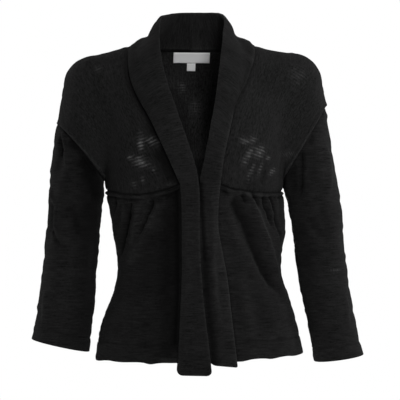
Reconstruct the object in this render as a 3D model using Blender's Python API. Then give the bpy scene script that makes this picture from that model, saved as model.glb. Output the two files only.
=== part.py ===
"""A kimono cardigan in fine knit, open down the front, filled out as if worn.

Every piece of cloth is a wall of real thickness.  The yokes lie on a general figure, given
by a few tables of sections.  The sleeves, the skirts and the collar start at the seams of
the yokes and follow tables of their own.  Tables are in millimetres, heights are above the
origin, the front of the garment faces -Y, and right and left are the wearer's.
"""

import math
from collections import namedtuple

import bmesh
import bpy
import numpy as np

MM = 0.001
WALL = 2.0
HEM_WALL = 3.0
COLLAR_WALL = 4.0
SEAM_GAP = 0.3
SIDES = {"right": -1, "left": 1}

# Steps of the grids along each seam.
SIDE_STEPS = 2
ARMHOLE_STEPS = 12
SHOULDER_STEPS = 10
BACK_NECK_STEPS = 8
FRONT_SKIRT_FINER = 3
BACK_SKIRT_FINER = 2

KNIT = (0.011, 0.010, 0.011)
LABEL_GREY = (0.55, 0.56, 0.58)
KNIT_ROUGHNESS, LABEL_ROUGHNESS = 0.9, 0.6
SHARP_ANGLE = math.radians(50)

Section = namedtuple("Section", "height right left front back")
Arm = namedtuple("Arm", "height centre half_width half_depth forward")
Bar = namedtuple("Bar", "out height radius")
Ring = namedtuple("Ring", "over_out over_height under_out under_height bow")
Cuff = namedtuple("Cuff", "height tilt")
Edge = namedtuple("Edge", "x y height")
Place = namedtuple("Place", "x height")
Lapel = namedtuple("Lapel", "level x y height bulge")
Fold = namedtuple("Fold", "x_top top x_low low width rise")
Crease = namedtuple("Crease", "turn top low spread rise")
Tab = namedtuple("Tab", "x top width drop")

# Half widths to the wearer's right and left, and depths to the front and the back.
TORSO = (
    Section(-216, 138.5, 142.5, 101, 92),
    Section(-150, 145, 146, 121, 98),
    Section(-100, 148, 148, 108, 102),
    Section(-50, 148, 148, 84, 95),
    Section(-10, 130, 130, 60, 79),
    Section(15, 93, 93, 44, 61),
    Section(30, 60, 60, 30, 48),
)
TORSO_SQUARENESS = 2.3

SHOULDER_BARS = {
    "right": (Bar(0, -38, 43), Bar(100, -37, 45), Bar(157, -48, 49)),
    "left": (Bar(0, -38, 43), Bar(100, -37, 45), Bar(158, -44, 46)),
}

# The arms' sections, from the shoulder down to the cuff.
ARMS = {
    "right": (
        Arm(-48, 164, 42, 47, 0),
        Arm(-80, 171.5, 41.5, 49, -1),
        Arm(-110, 175.5, 42, 51, -2),
        Arm(-150, 180, 43, 52, -3),
        Arm(-185, 184, 43.5, 52, -4),
        Arm(-211, 185.5, 43.5, 51, -5),
        Arm(-262, 189.6, 42.4, 49, -7),
        Arm(-301, 192.8, 43.5, 47, -9),
        Arm(-339, 196, 42.6, 45, -11),
        Arm(-378, 199.5, 43.8, 43, -13),
        Arm(-416, 204.8, 44.8, 42, -15),
        Arm(-475, 214, 48, 43, -18),
    ),
    "left": (
        Arm(-44, 163.5, 40, 46, 0),
        Arm(-80, 171, 42, 49, -1),
        Arm(-110, 175, 42, 51, -2),
        Arm(-150, 180, 43, 52, -3),
        Arm(-185, 185.5, 43.5, 52, -4),
        Arm(-211, 189.5, 44.3, 51, -5),
        Arm(-237, 194.4, 42.6, 50, -6),
        Arm(-262, 198.4, 41.6, 49, -7),
        Arm(-301, 202.4, 40.8, 47, -9),
        Arm(-339, 206.4, 40, 45, -11),
        Arm(-378, 211.2, 38.6, 43, -13),
        Arm(-416, 218.4, 37.8, 42, -15),
        Arm(-490, 234, 40, 43, -18),
    ),
}
ARMHOLES = {
    "right": Ring(217, -109, 141, -199, 3),
    "left": Ring(213, -79, 142.5, -197, 5),
}
ARMHOLE_DEPTH = 50.0
CUFFS = {
    "right": Cuff(-461.5, 13),
    "left": Cuff(-480, 7),
}
SLEEVE_ROWS = (0, 0.04, 0.10, 0.18, 0.28, 0.39, 0.51, 0.63, 0.75, 0.86, 0.935, 1)
# Soft creases of the sleeves, at an angle from the outer side: -90 is the front.
CREASES = {
    "right": (
        Crease(-45, -122, -200, 17, -3.5),
        Crease(-30, -225, -300, 16, -3),
        Crease(-92, -245, -300, 18, -2.5),
        Crease(-150, -270, -390, 22, -3),
        Crease(75, -150, -270, 20, -3.5),
        Crease(130, -240, -370, 22, -3),
        Crease(15, -330, -420, 24, 2),
    ),
    "left": (
        Crease(-48, -140, -215, 17, 3),
        Crease(-82, -170, -250, 17, -2.5),
        Crease(-25, -260, -340, 18, -2.5),
        Crease(-140, -250, -380, 22, -3),
        Crease(70, -140, -260, 20, -3.5),
        Crease(125, -250, -390, 22, -3),
        Crease(10, -370, -450, 24, 2),
    ),
}

# How far the arm's form runs into the torso's: wide at the shoulder, tight at the underarm.
BLEND_TOP, BLEND_LOW = 28.0, 3.0
BLEND_FROM, BLEND_TO = -192.0, -80.0
BAR_BLEND = 6.0

SHOULDER_LINE = (
    Edge(99, 4, 16),
    Edge(130, 2, 7),
    Edge(162, 0, 1),
    Edge(186, 0, -6),
    Edge(199, 0, -20),
    Edge(207, -1, -45),
)
COLLAR_SEAM = {
    "right": (
        Edge(-99, 4, 16),
        Edge(-105, -30, -9),
        Edge(-103, -58, -35),
        Edge(-92, -78, -67),
        Edge(-73, -98, -104),
        Edge(-54, -113, -146),
        Edge(-35, -112, -187),
        Edge(-26, -106, -206),
    ),
    "left": (
        Edge(99, 4, 16),
        Edge(90, -46, -21),
        Edge(80, -66, -45),
        Edge(66, -84, -74),
        Edge(57, -96, -94),
        Edge(47, -110, -130),
        Edge(40, -114, -161),
        Edge(35, -106, -207),
    ),
}
BACK_NECK = (
    Edge(-99, 4, 16),
    Edge(-80, 38, 15),
    Edge(-45, 56, 14),
    Edge(0, 62, 13),
    Edge(45, 56, 14),
    Edge(80, 38, 15),
    Edge(99, 4, 16),
)
EMPIRE_SEAM = {
    "right": (
        Edge(-26, -106, -206),
        Edge(-50, -104, -214),
        Edge(-80, -96, -220),
        Edge(-103, -80, -222),
        Edge(-128, -40, -218),
        Edge(-138.5, 3, -215),
    ),
    "left": (
        Edge(35, -106, -207),
        Edge(53, -103, -212),
        Edge(80, -95, -217),
        Edge(105, -78, -219),
        Edge(132, -40, -218),
        Edge(142.5, 3, -215),
    ),
}
EMPIRE_BACK, EMPIRE_BACK_DEPTH = -214.0, 95.0

# The skirt's sections, its hem, and the front edges that the bands are sewn to.
SKIRT = (
    Section(-216, 138.5, 142.5, 101, 92),
    Section(-250, 132.5, 146.5, 99, 89),
    Section(-275, 129, 148, 98, 87),
    Section(-326, 121.5, 141, 98, 86),
    Section(-352, 121.5, 142, 99, 88),
    Section(-378, 127.5, 151, 102, 91),
    Section(-429, 146, 165, 109, 100),
    Section(-482, 154, 176, 117, 110),
)
SKIRT_SQUARENESS = 2.25
HEM = (
    Place(-130, -483),
    Place(-50, -482.5),
    Place(35, -480),
    Place(95, -476.5),
    Place(150, -473),
)
BAND_SEAM = {
    "right": (
        Place(-26, -206),
        Place(-25.5, -240),
        Place(-25.7, -300),
        Place(-26, -353),
        Place(-28, -400),
        Place(-31, -445),
        Place(-33.5, -483),
    ),
    "left": (
        Place(35, -207),
        Place(32, -240),
        Place(32, -277),
        Place(38, -310),
        Place(46, -354),
        Place(51, -400),
        Place(56, -445),
        Place(60, -483),
    ),
}
BAND_END = {"right": -499.0, "left": -487.0}
# Rows of the skirt below the empire seam, as shares of the way to the hem.
SKIRT_ROWS = (0, 0.012, 0.028, 0.065, 0.13, 0.22, 0.34, 0.48, 0.63, 0.78, 0.90, 1)
HEM_FROM = 0.89

# The collar's free edge.  A row's level is the height of the sewn edge that it faces, and
# above the shoulder it runs on from SHOULDER_LEVEL to BACK_LEVEL at the centre of the back.
SHOULDER_LEVEL, BACK_LEVEL = 16.0, 76.0
FREE_EDGE = {
    "right": (
        Lapel(76, 0, 52, 74, 2),
        Lapel(56, -25, 48, 73.5, 1),
        Lapel(36, -44, 32, 71, -3),
        Lapel(16, -52, 4, 63, -7),
        Lapel(-9, -55, -34, 33, 2),
        Lapel(-35, -53.5, -62, -2, 8),
        Lapel(-67, -47, -83, -40, 10),
        Lapel(-104, -33, -103, -86, 9),
        Lapel(-146, -16, -118, -138, 7),
        Lapel(-187, -1, -120, -186, 5),
        Lapel(-206, 2, -117, -206, 4),
        Lapel(-277, 3, -116, -277, 3.5),
        Lapel(-323, 4.5, -118, -323, 3.5),
        Lapel(-368, 7.3, -122, -368, 3.5),
        Lapel(-414, 11.5, -128, -414, 3.5),
        Lapel(-452, 16, -132, -452, 3),
        Lapel(-499, 19, -135, -499, 2.5),
    ),
    "left": (
        Lapel(76, 0, 52, 74, 2),
        Lapel(56, 25, 48, 73.5, 1),
        Lapel(36, 43, 32, 71, -3),
        Lapel(16, 50, 4, 63, -7),
        Lapel(-21, 42, -50, 20, 5),
        Lapel(-45, 37, -68, -12, 8),
        Lapel(-74, 32, -84, -48, 8),
        Lapel(-94, 28.5, -92, -70, 8),
        Lapel(-130, 20, -108, -112, 6),
        Lapel(-161, 12, -115, -153, 5),
        Lapel(-207, 4.5, -110, -207, 4),
        Lapel(-277, 5, -110, -277, 3.5),
        Lapel(-326, 8, -112, -326, 3.5),
        Lapel(-384, 12.5, -117, -384, 3.5),
        Lapel(-445, 20, -122, -445, 3),
        Lapel(-487, 22, -125, -487, 2.5),
    ),
}
COLLAR_COLUMNS = (0, 0.09, 0.27, 0.5, 0.74, 0.93, 1)

# Troughs and ridges of the skirts, each along a line from its top to its low end.
FRONT_FOLDS = (
    Fold(-128, -222, -131, -262, 6, -2.5),
    Fold(-115, -230, -121, -275, 6, 2.5),
    Fold(-100, -222, -118, -345, 7, -5.5),
    Fold(-88, -250, -90, -400, 14, 2.5),
    Fold(-74, -220, -82, -272, 7, -3.5),
    Fold(-58, -216, -62, -262, 6, 2),
    Fold(-42, -224, -42, -400, 15, -5),
    Fold(56, -214, 139, -395, 9, -6.5),
    Fold(62, -300, 82, -430, 16, 3),
    Fold(68, -216, 79, -240, 5, -2.5),
    Fold(86, -218, 99, -246, 5, -3),
    Fold(88, -232, 132, -350, 10, 4),
    Fold(105, -220, 118, -264, 6, -3.5),
    Fold(121, -222, 127, -282, 6, -3),
)
BACK_FOLDS = (
    Fold(-108, -216, -122, -350, 10, -5),
    Fold(-70, -216, -78, -420, 15, 4),
    Fold(-42, -216, -46, -330, 9, -5),
    Fold(-10, -216, -6, -440, 16, -5),
    Fold(24, -216, 30, -360, 11, 4),
    Fold(52, -216, 62, -400, 11, -5),
    Fold(92, -216, 112, -420, 14, 4),
    Fold(122, -216, 138, -330, 9, -5),
)
FRONT_WAVES, BACK_WAVES, WAVE_DEPTH = 2.5, 6, 1.5
BACK_GATHERS, GATHER_DEPTH, GATHER_END = 14, 1.8, 0.24
EMPIRE_RIDGE = 1.6

LABEL = Tab(2, 12, 60, 16.5)
SIZE_TAB = Tab(2, -4.9, 14, 12.5)
LABEL_CLEAR, LABEL_WALL = 0.8, 0.9


def column(table, name):
    return np.array([getattr(row, name) for row in table], float)


def through(knots, values, at):
    """A smooth curve through the values, read at any place between the knots."""
    knots, values = np.asarray(knots, float), np.asarray(values, float)
    if knots[0] > knots[-1]:
        knots, values = knots[::-1], values[::-1]
    slopes = np.gradient(values, knots, axis=0)
    at = np.clip(at, knots[0], knots[-1])
    cell = np.clip(np.searchsorted(knots, at, side="right") - 1, 0, len(knots) - 2)
    span = knots[cell + 1] - knots[cell]
    t = (at - knots[cell]) / span
    if values.ndim > 1:
        t, span = t[..., None], span[..., None]
    return (
        values[cell] * (1 + 2 * t) * (1 - t) ** 2
        + values[cell + 1] * t * t * (3 - 2 * t)
        + span * t * (1 - t) * (slopes[cell] * (1 - t) - slopes[cell + 1] * t)
    )


def read(table, name, at, knots="height"):
    return through(column(table, knots), column(table, name), at)


def smoothstep(low, high, value):
    t = np.clip((value - low) / (high - low), 0, 1)
    return t * t * (3 - 2 * t)


def unit(vectors):
    return vectors / np.maximum(np.linalg.norm(vectors, axis=-1, keepdims=True), 1e-9)


def blended_least(a, b, reach):
    """The smaller of two fields, run together over a distance."""
    share = np.clip(reach - np.abs(a - b), 0, None) / reach
    return np.minimum(a, b) - share * share * reach / 4


def torso_field(points):
    x, y, z = points[..., 0], points[..., 1], points[..., 2]
    half = np.where(x < 0, read(TORSO, "right", z), read(TORSO, "left", z))
    front, back = read(TORSO, "front", z), read(TORSO, "back", z)
    n = TORSO_SQUARENESS
    reach = np.abs(x / half) ** n + np.abs(y / np.where(y < 0, front, back)) ** n
    # One scale for all quarters keeps the field whole where they meet.
    return (reach ** (1 / n) - 1) * (front + back) / 2


def bar_field(points, side):
    bar = SHOULDER_BARS[side]
    out = np.maximum(SIDES[side] * points[..., 0], 0)
    above = points[..., 2] - read(bar, "height", out, "out")
    past = np.maximum(out - bar[-1].out, 0)
    return np.sqrt(past**2 + points[..., 1] ** 2 + above**2) - read(bar, "radius", out, "out")


def arm_field(points, side):
    arm = ARMS[side]
    x, y, z = points[..., 0], points[..., 1], points[..., 2]
    half, depth = read(arm, "half_width", z), read(arm, "half_depth", z)
    across = SIDES[side] * x - read(arm, "centre", z)
    along = (y - read(arm, "forward", z)) * half / depth
    above = np.maximum(z - arm[0].height, 0)
    return np.sqrt(across**2 + along**2 + above**2) - half


def figure(points):
    """Below zero inside the general figure that the yokes lie on."""
    limbs = [
        blended_least(arm_field(points, side), bar_field(points, side), BAR_BLEND)
        for side in SIDES
    ]
    limb = np.where(points[..., 0] < 0, *limbs)
    near_shoulder = smoothstep(BLEND_FROM, BLEND_TO, points[..., 2])
    reach = BLEND_LOW + (BLEND_TOP - BLEND_LOW) * near_shoulder
    return blended_least(torso_field(points), limb, reach)


def slope(points, step=0.05):
    """The figure's slope along each axis."""
    axes = np.eye(3) * step
    return np.stack(
        [(figure(points + a) - figure(points - a)) / (2 * step) for a in axes], axis=-1
    )


def settle(points, free=(1, 1, 1), rounds=8):
    """Moves points onto the figure's surface, along the free axes alone."""
    points = np.array(points, float)
    for _ in range(rounds):
        along = slope(points) * np.array(free, float)
        length = np.maximum((along**2).sum(-1), 0.05)
        points -= np.clip(figure(points) / length, -8, 8)[..., None] * along
    return points


def evenly(points, steps, dense=400):
    """The same curve, smooth through its points, in equal steps."""
    points = np.asarray(points, float)
    gaps = np.linalg.norm(np.diff(points, axis=0), axis=1)
    knots = np.concatenate([[0], np.cumsum(gaps)])
    fine = through(knots, points, np.linspace(0, knots[-1], dense))
    run = np.concatenate([[0], np.cumsum(np.linalg.norm(np.diff(fine, axis=0), axis=1))])
    return resampled(fine, np.linspace(0, run[-1], steps + 1), run)


def resampled(line, at, knots):
    return np.stack([np.interp(at, knots, line[:, k]) for k in range(line.shape[1])], axis=1)


def rows_of(edges):
    return np.array([[e.x, e.y, e.height] for e in edges], float)


class Seam:
    """A line that two pieces share: its points, the wall's direction and the way across."""

    def __init__(self, points, normals, across=None):
        self.points, self.normals = points, normals
        if across is None:
            across = unit(np.cross(normals, np.gradient(points, axis=0)))
        self.across = across

    def lines(self):
        return self.points, self.normals, self.across

    def finer(self, times):
        """More points on the same straight runs, so that both pieces keep one line."""
        knots = np.arange(len(self.points))
        at = np.linspace(0, knots[-1], knots[-1] * times + 1)
        return Seam(*(resampled(line, at, knots) for line in self.lines()))

    def flipped(self):
        return Seam(self.points[::-1], self.normals[::-1], -self.across[::-1])

    def part(self, first, last):
        return Seam(*(line[first : last + 1] for line in self.lines()))


def chained(first, *others):
    """Seams that follow each other, as one."""
    rest = zip(*([line[1:] for line in seam.lines()] for seam in others))
    return Seam(*(np.concatenate([a, *b]) for a, b in zip(first.lines(), rest)))


def figure_seam(points):
    return Seam(points, unit(slope(points)))


def armhole_half(side, facing):
    """Half of the armhole, from the underarm to the top of the arm, in a slanted sheet."""
    ring, sign = ARMHOLES[side], SIDES[side]
    over = np.array([sign * ring.over_out, -2.0, ring.over_height])
    under = np.array([sign * ring.under_out, -4.0, ring.under_height])
    turn = np.linspace(0, math.pi, 8 * ARMHOLE_STEPS + 1)[:, None]
    middle, reach = (over + under) / 2, (over - under) / 2
    depth = np.array([0, facing * ARMHOLE_DEPTH, 0])
    points = middle - reach * np.cos(turn) + depth * np.sin(turn)
    points[:, 2] += ring.bow * np.sin(turn[:, 0]) ** 2
    sheet = np.cross(unit(reach), [0, 1, 0])
    for _ in range(40):
        down = slope(points)
        flat = down - (down @ sheet)[:, None] * sheet
        flat[[0, -1], 1] = 0
        size = np.maximum((flat**2).sum(-1), 0.05)
        points -= 0.6 * np.clip(figure(points) / size, -4, 4)[:, None] * flat
    return evenly(points[::4], ARMHOLE_STEPS)


def build_side_seams(seams, side):
    """The armhole, shoulder, collar, empire and side seams of one side."""
    front, back = armhole_half(side, -1), armhole_half(side, 1)
    back[0], back[-1] = front[0], front[-1]
    seams["armhole", side, "front"] = figure_seam(front)
    seams["armhole", side, "back"] = figure_seam(back)

    shoulder = settle(rows_of(SHOULDER_LINE) * [SIDES[side], 1, 1], (1, 0, 1))
    shoulder = evenly(np.vstack([shoulder, front[-1]]), SHOULDER_STEPS)
    shoulder = settle(shoulder, (1, 0, 1))
    shoulder[-1] = front[-1]
    seams["shoulder", side] = figure_seam(shoulder)

    neck = settle(rows_of(COLLAR_SEAM[side]), (0, 1, 1))
    neck = settle(evenly(neck, SIDE_STEPS + ARMHOLE_STEPS), (0, 1, 1))
    neck[0] = shoulder[0]
    seams["neck", side] = figure_seam(neck)

    empire = settle(rows_of(EMPIRE_SEAM[side]), (1, 1, 0))
    empire = settle(evenly(empire, SHOULDER_STEPS), (1, 1, 0))
    empire[0] = neck[-1]
    seams["empire", side] = figure_seam(empire)

    under = np.linspace(empire[-1], front[0], SIDE_STEPS + 1)
    under[1:-1] = settle(under[1:-1], (1, 0, 0))
    seams["side", side] = figure_seam(under)


def build_seams():
    seams = {}
    for side in SIDES:
        build_side_seams(seams, side)
    ends = [seams["shoulder", side].points[0] for side in SIDES]
    neck = settle(evenly(rows_of(BACK_NECK), BACK_NECK_STEPS), (0, 1, 1))
    neck[0], neck[-1] = ends
    seams["neck", "back"] = figure_seam(neck)

    start, end = (seams["empire", side].points[-1] for side in SIDES)
    turn = np.linspace(0, math.pi, 60)
    middle, half = (start[0] + end[0]) / 2, (end[0] - start[0]) / 2
    heights = EMPIRE_BACK + (start[2] - EMPIRE_BACK) * np.cos(turn) ** 4
    line = [middle - half * np.cos(turn), EMPIRE_BACK_DEPTH * np.sin(turn), heights]
    back = evenly(settle(np.stack(line, axis=1), (1, 1, 0)), 2 * SHOULDER_STEPS + BACK_NECK_STEPS)
    back[0], back[-1] = start, end
    seams["empire", "back"] = figure_seam(back)
    return seams


def stretched(bottom, top, first, last):
    """A grid stretched between four lines: its rows run with bottom and top."""
    u = np.linspace(0, 1, len(bottom))[:, None, None]
    v = np.linspace(0, 1, len(first))[None, :, None]
    grid = (1 - v) * bottom[:, None] + v * top[:, None]
    grid = grid + (1 - u) * first[None] + u * last[None]
    corners = (1 - u) * (1 - v) * bottom[0] + u * (1 - v) * bottom[-1]
    corners = corners + (1 - u) * v * top[0] + u * v * top[-1]
    return grid - corners


def laid_on_figure(grid, rounds=24):
    """Evens out a grid and lays it on the figure, with its border held."""
    inner = settle(grid[1:-1, 1:-1], rounds=10)
    for _ in range(rounds):
        grid[1:-1, 1:-1] = inner
        even = (grid[:-2, 1:-1] + grid[2:, 1:-1] + grid[1:-1, :-2] + grid[1:-1, 2:]) / 4
        inner = settle(inner + 0.5 * (even - inner), rounds=3)
    grid[1:-1, 1:-1] = inner
    return grid


def grid_normals(grid, outward):
    """The directions square to a grid, on the side that the outward hint points to."""
    normals = unit(np.cross(np.gradient(grid, axis=0), np.gradient(grid, axis=1)))
    return normals * (np.sign((normals * outward).sum()) or 1.0)


BORDERS = {
    "bottom": (np.s_[:, 0], np.s_[:, 1]),
    "top": (np.s_[:, -1], np.s_[:, -2]),
    "first": (np.s_[0, :], np.s_[1, :]),
    "last": (np.s_[-1, :], np.s_[-2, :]),
}


def on_seams(grid, normals, seams):
    """Sets a grid's border to its seams, and gives the shift that holds it half a gap back."""
    for name, seam in seams.items():
        border, _ = BORDERS[name]
        grid[border], normals[border] = seam.points, seam.normals
    shift = np.zeros_like(grid)
    for name, seam in seams.items():
        border, inside = BORDERS[name]
        sign = np.sign(((grid[inside] - grid[border]) * seam.across).sum())
        shift[border] += sign * seam.across * SEAM_GAP / 2
    return shift


def cloth_material(name, colour, roughness):
    material = bpy.data.materials.new(name)
    material.use_nodes = True
    shader = material.node_tree.nodes["Principled BSDF"]
    shader.inputs["Base Color"].default_value = (*colour, 1)
    shader.inputs["Roughness"].default_value = roughness
    shader.inputs["Metallic"].default_value = 0
    return material


def wall_object(name, outer, inner, closed=False, colour=KNIT, roughness=KNIT_ROUGHNESS):
    """A closed wall between an outer grid and an inner grid of the same size."""
    count_u, count_v = outer.shape[:2]
    bm = bmesh.new()
    bmesh.ops.create_grid(bm, x_segments=count_u - 1, y_segments=count_v - 1, size=1)
    inside = bm.verts.layers.float_vector.new("inside")
    # The grid's vertices run along its first direction first.
    for index, vert in enumerate(bm.verts):
        u, v = index % count_u, index // count_u
        vert.co = outer[u, v] * MM
        vert[inside] = inner[u, v] * MM
    if closed:
        bmesh.ops.remove_doubles(bm, verts=bm.verts, dist=1e-6)
    made = bmesh.ops.extrude_face_region(bm, geom=bm.faces[:], use_keep_orig=True)
    for vert in (part for part in made["geom"] if isinstance(part, bmesh.types.BMVert)):
        vert.co = vert[inside]
    bmesh.ops.recalc_face_normals(bm, faces=bm.faces)
    if bm.calc_volume(signed=True) < 0:
        bmesh.ops.reverse_faces(bm, faces=bm.faces)
    mesh = bpy.data.meshes.new(name)
    bm.to_mesh(mesh)
    bm.free()
    mesh.shade_smooth()
    mesh.set_sharp_from_angle(angle=SHARP_ANGLE)
    mesh.materials.append(cloth_material(name + "_cloth", colour, roughness))
    bpy.context.scene.collection.objects.link(bpy.data.objects.new(name, mesh))


def wall_of(name, grid, normals, shift, thickness=WALL, closed=False):
    depth = np.broadcast_to(thickness, grid.shape[:2])[..., None]
    wall_object(name, grid + shift, grid - normals * depth + shift, closed)


def build_yoke(name, borders):
    grid = laid_on_figure(stretched(*(borders[k].points for k in BORDERS)))
    normals = unit(slope(grid))
    wall_of(name, grid, normals, on_seams(grid, normals, borders))


def build_yokes(seams):
    for side in SIDES:
        borders = {
            "bottom": seams["empire", side],
            "top": seams["shoulder", side],
            "first": seams["neck", side].flipped(),
            "last": chained(seams["side", side], seams["armhole", side, "front"]),
        }
        build_yoke(f"front_yoke_{side}", borders)
    right, left = (seams["shoulder", side] for side in SIDES)
    borders = {
        "bottom": seams["empire", "back"],
        "top": chained(right.flipped(), seams["neck", "back"], left),
        "first": chained(seams["side", "right"], seams["armhole", "right", "back"]),
        "last": chained(seams["side", "left"], seams["armhole", "left", "back"]),
    }
    build_yoke("back_yoke", borders)


def arm_section(side, turn, height):
    """A point of the sleeve, at an angle from its outer side and a height."""
    arm = ARMS[side]
    x = read(arm, "centre", height) + read(arm, "half_width", height) * np.cos(turn)
    y = read(arm, "forward", height) + read(arm, "half_depth", height) * np.sin(turn)
    return np.stack([SIDES[side] * x, y, height], axis=-1)


def arm_turn(side, points):
    """The angles of points on or near the arm, the underarm's first."""
    arm, (x, y, z) = ARMS[side], points.T
    along = (y - read(arm, "forward", z)) / read(arm, "half_depth", z)
    across = (SIDES[side] * x - read(arm, "centre", z)) / read(arm, "half_width", z)
    turn = np.unwrap(np.arctan2(along, across))
    return turn - 2 * math.pi * round((turn[0] + math.pi) / (2 * math.pi))


def crease_rise(creases, turn, height):
    """How far the creases lift each point off the plain sleeve."""
    total = np.zeros_like(height)
    for crease in creases:
        off = turn - math.radians(crease.turn)
        off = (off + math.pi) % (2 * math.pi) - math.pi
        share = (height - crease.top) / (crease.low - crease.top)
        fade = smoothstep(-0.15, 0.3, share) * (1 - smoothstep(0.6, 1.15, share))
        total += crease.rise * fade * np.exp(-((off / math.radians(crease.spread)) ** 2))
    return total


def build_sleeve(side, seams):
    cuff = CUFFS[side]
    ring = chained(
        seams["armhole", side, "front"], seams["armhole", side, "back"].flipped()
    )
    z = ring.points[:, 2]
    turn = arm_turn(side, ring.points)
    even = np.linspace(turn[0], turn[-1], len(turn))
    rows = np.array(SLEEVE_ROWS)
    turns = turn[:, None] + (even - turn)[:, None] * smoothstep(0, 0.5, rows)
    low = cuff.height + cuff.tilt * np.cos(turns)
    heights = z[:, None] + (low - z[:, None]) * rows
    off_section = ring.points - arm_section(side, turn, z)
    fade = 1 - smoothstep(0, 0.25, rows)
    grid = arm_section(side, turns, heights) + off_section[:, None] * fade[None, :, None]
    rise = crease_rise(CREASES[side], turns, heights) * smoothstep(0, 0.08, rows)
    from_middle = unit((grid - grid.mean(axis=0)) * [1, 1, 0])
    grid = grid + from_middle * rise[..., None]
    grid[-1] = grid[0]
    normals = grid_normals(grid, grid - grid.mean(axis=0))
    normals[0] = normals[-1] = unit(normals[0] + normals[-1])
    shift = on_seams(grid, normals, {"bottom": ring})
    shift[-1] = shift[0]
    thickness = np.where(rows > 0.93, HEM_WALL, WALL)
    wall_of(f"sleeve_{side}", grid, normals, shift, thickness, closed=True)


def skirt_sizes(x, y, height):
    half = np.where(x < 0, read(SKIRT, "right", height), read(SKIRT, "left", height))
    depth = np.where(y < 0, read(SKIRT, "front", height), read(SKIRT, "back", height))
    return half, depth


def skirt_section(turn, height):
    """A point of the skirt: turn runs from the wearer's right, by the front, to the left."""
    across, along = -np.cos(turn), -np.sin(turn)
    half, depth = skirt_sizes(across, along, height)
    power = 2 / SKIRT_SQUARENESS
    x = half * np.sign(across) * np.abs(across) ** power
    y = depth * np.sign(along) * np.abs(along) ** power
    return np.stack([x, y, height], axis=-1)


def skirt_turn(points):
    """The turns of points that lie on or near the skirt."""
    x, y, z = points.T
    half, depth = skirt_sizes(x, y, z)
    power = SKIRT_SQUARENESS / 2
    across = np.sign(x) * np.abs(x / half) ** power
    along = np.sign(y) * np.abs(y / depth) ** power
    return np.unwrap(np.arctan2(-along, -across))


def fold_rise(folds, points):
    """How far the folds lift each point off the plain skirt."""
    x, z = points[..., 0], points[..., 2]
    total = np.zeros_like(x)
    for fold in folds:
        share = (z - fold.top) / (fold.low - fold.top)
        line = fold.x_top + (fold.x_low - fold.x_top) * share
        fade = smoothstep(-0.12, 0.15, share) * (1 - smoothstep(0.45, 1.1, share))
        total += fold.rise * fade * np.exp(-(((x - line) / fold.width) ** 2))
    return total


def skirt_grid(top, turns, folds, waves, gathers=0):
    """Columns that fall from the top line to the hem, at the turns that a row asks for."""
    rows = np.array(SKIRT_ROWS)
    count = len(top.points)
    z = top.points[:, 2]
    hem = read(HEM, "height", top.points[:, 0], "x")
    off_section = top.points - skirt_section(turns(z), z)
    grid = np.empty((count, len(rows), 3))
    for row, t in enumerate(rows):
        height = z + (hem - z) * t
        grid[:, row] = skirt_section(turns(height), height)
        grid[:, row] += off_section * (1 - smoothstep(0, 0.2, t))
    normals = grid_normals(grid, grid * [1, 1, 0])
    around = np.linspace(0, 2 * math.pi, count)[:, None]
    rise = fold_rise(folds, grid) * smoothstep(0, 0.05, rows)
    gather_size = smoothstep(0, 0.03, rows) * (1 - smoothstep(0.03, GATHER_END, rows))
    rise += GATHER_DEPTH * np.sin(gathers * around) * gather_size
    rise += WAVE_DEPTH * np.sin(waves * around) * smoothstep(0.5, 1, rows)
    border = np.minimum(np.arange(count), np.arange(count)[::-1])[:, None]
    rise *= smoothstep(0, 3, border)
    rise[:, 1] += EMPIRE_RIDGE
    grid += normals * rise[..., None]
    normals[:, 0] = top.normals
    return grid, normals


def front_turns(side, first):
    """The turns of a front skirt's columns at any height, from its band to its side."""

    def turns(height):
        table = BAND_SEAM[side]
        x = read(table, "x", height[0])
        half = read(SKIRT, "right" if x < 0 else "left", height[0])
        band = math.acos(-math.copysign(abs(x / half) ** (SKIRT_SQUARENESS / 2), x))
        return first[-1] + (band - first[-1]) * (first - first[-1]) / (first[0] - first[-1])

    return turns


def build_skirts(seams):
    thickness = np.where(np.array(SKIRT_ROWS) > HEM_FROM, HEM_WALL, WALL)
    for side in SIDES:
        top = seams["empire", side].finer(FRONT_SKIRT_FINER)
        turns = front_turns(side, skirt_turn(top.points))
        grid, normals = skirt_grid(top, turns, FRONT_FOLDS, FRONT_WAVES)
        seams["band", side] = Seam(grid[0].copy(), normals[0].copy())
        seams["skirt side", side] = Seam(grid[-1].copy(), normals[-1].copy())
        borders = {
            "bottom": top,
            "first": seams["band", side],
            "last": seams["skirt side", side],
        }
        shift = on_seams(grid, normals, borders)
        wall_of(f"front_skirt_{side}", grid, normals, shift, thickness)

    top = seams["empire", "back"].finer(BACK_SKIRT_FINER)
    first = skirt_turn(top.points)
    grid, normals = skirt_grid(top, lambda height: first, BACK_FOLDS, BACK_WAVES, BACK_GATHERS)
    borders = {
        "bottom": top,
        "first": seams["skirt side", "right"],
        "last": seams["skirt side", "left"],
    }
    wall_of("back_skirt", grid, normals, on_seams(grid, normals, borders), thickness)


def sewn_edge(side, seams):
    """The collar's sewn edge, from the centre of the back down to the end of the band."""
    half = BACK_NECK_STEPS // 2
    neck = seams["neck", "back"]
    back = neck.part(0, half).flipped() if side == "right" else neck.part(half, 2 * half)
    sewn = chained(back, seams["neck", side], seams["band", side])
    # The band hangs on below the hem.
    before, last = sewn.points[-2:]
    end = last + (last - before) * (BAND_END[side] - last[2]) / (last[2] - before[2])
    tail = Seam(np.array([last, end]), sewn.normals[[-1, -1]], sewn.across[[-1, -1]])
    return chained(sewn, tail)


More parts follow.
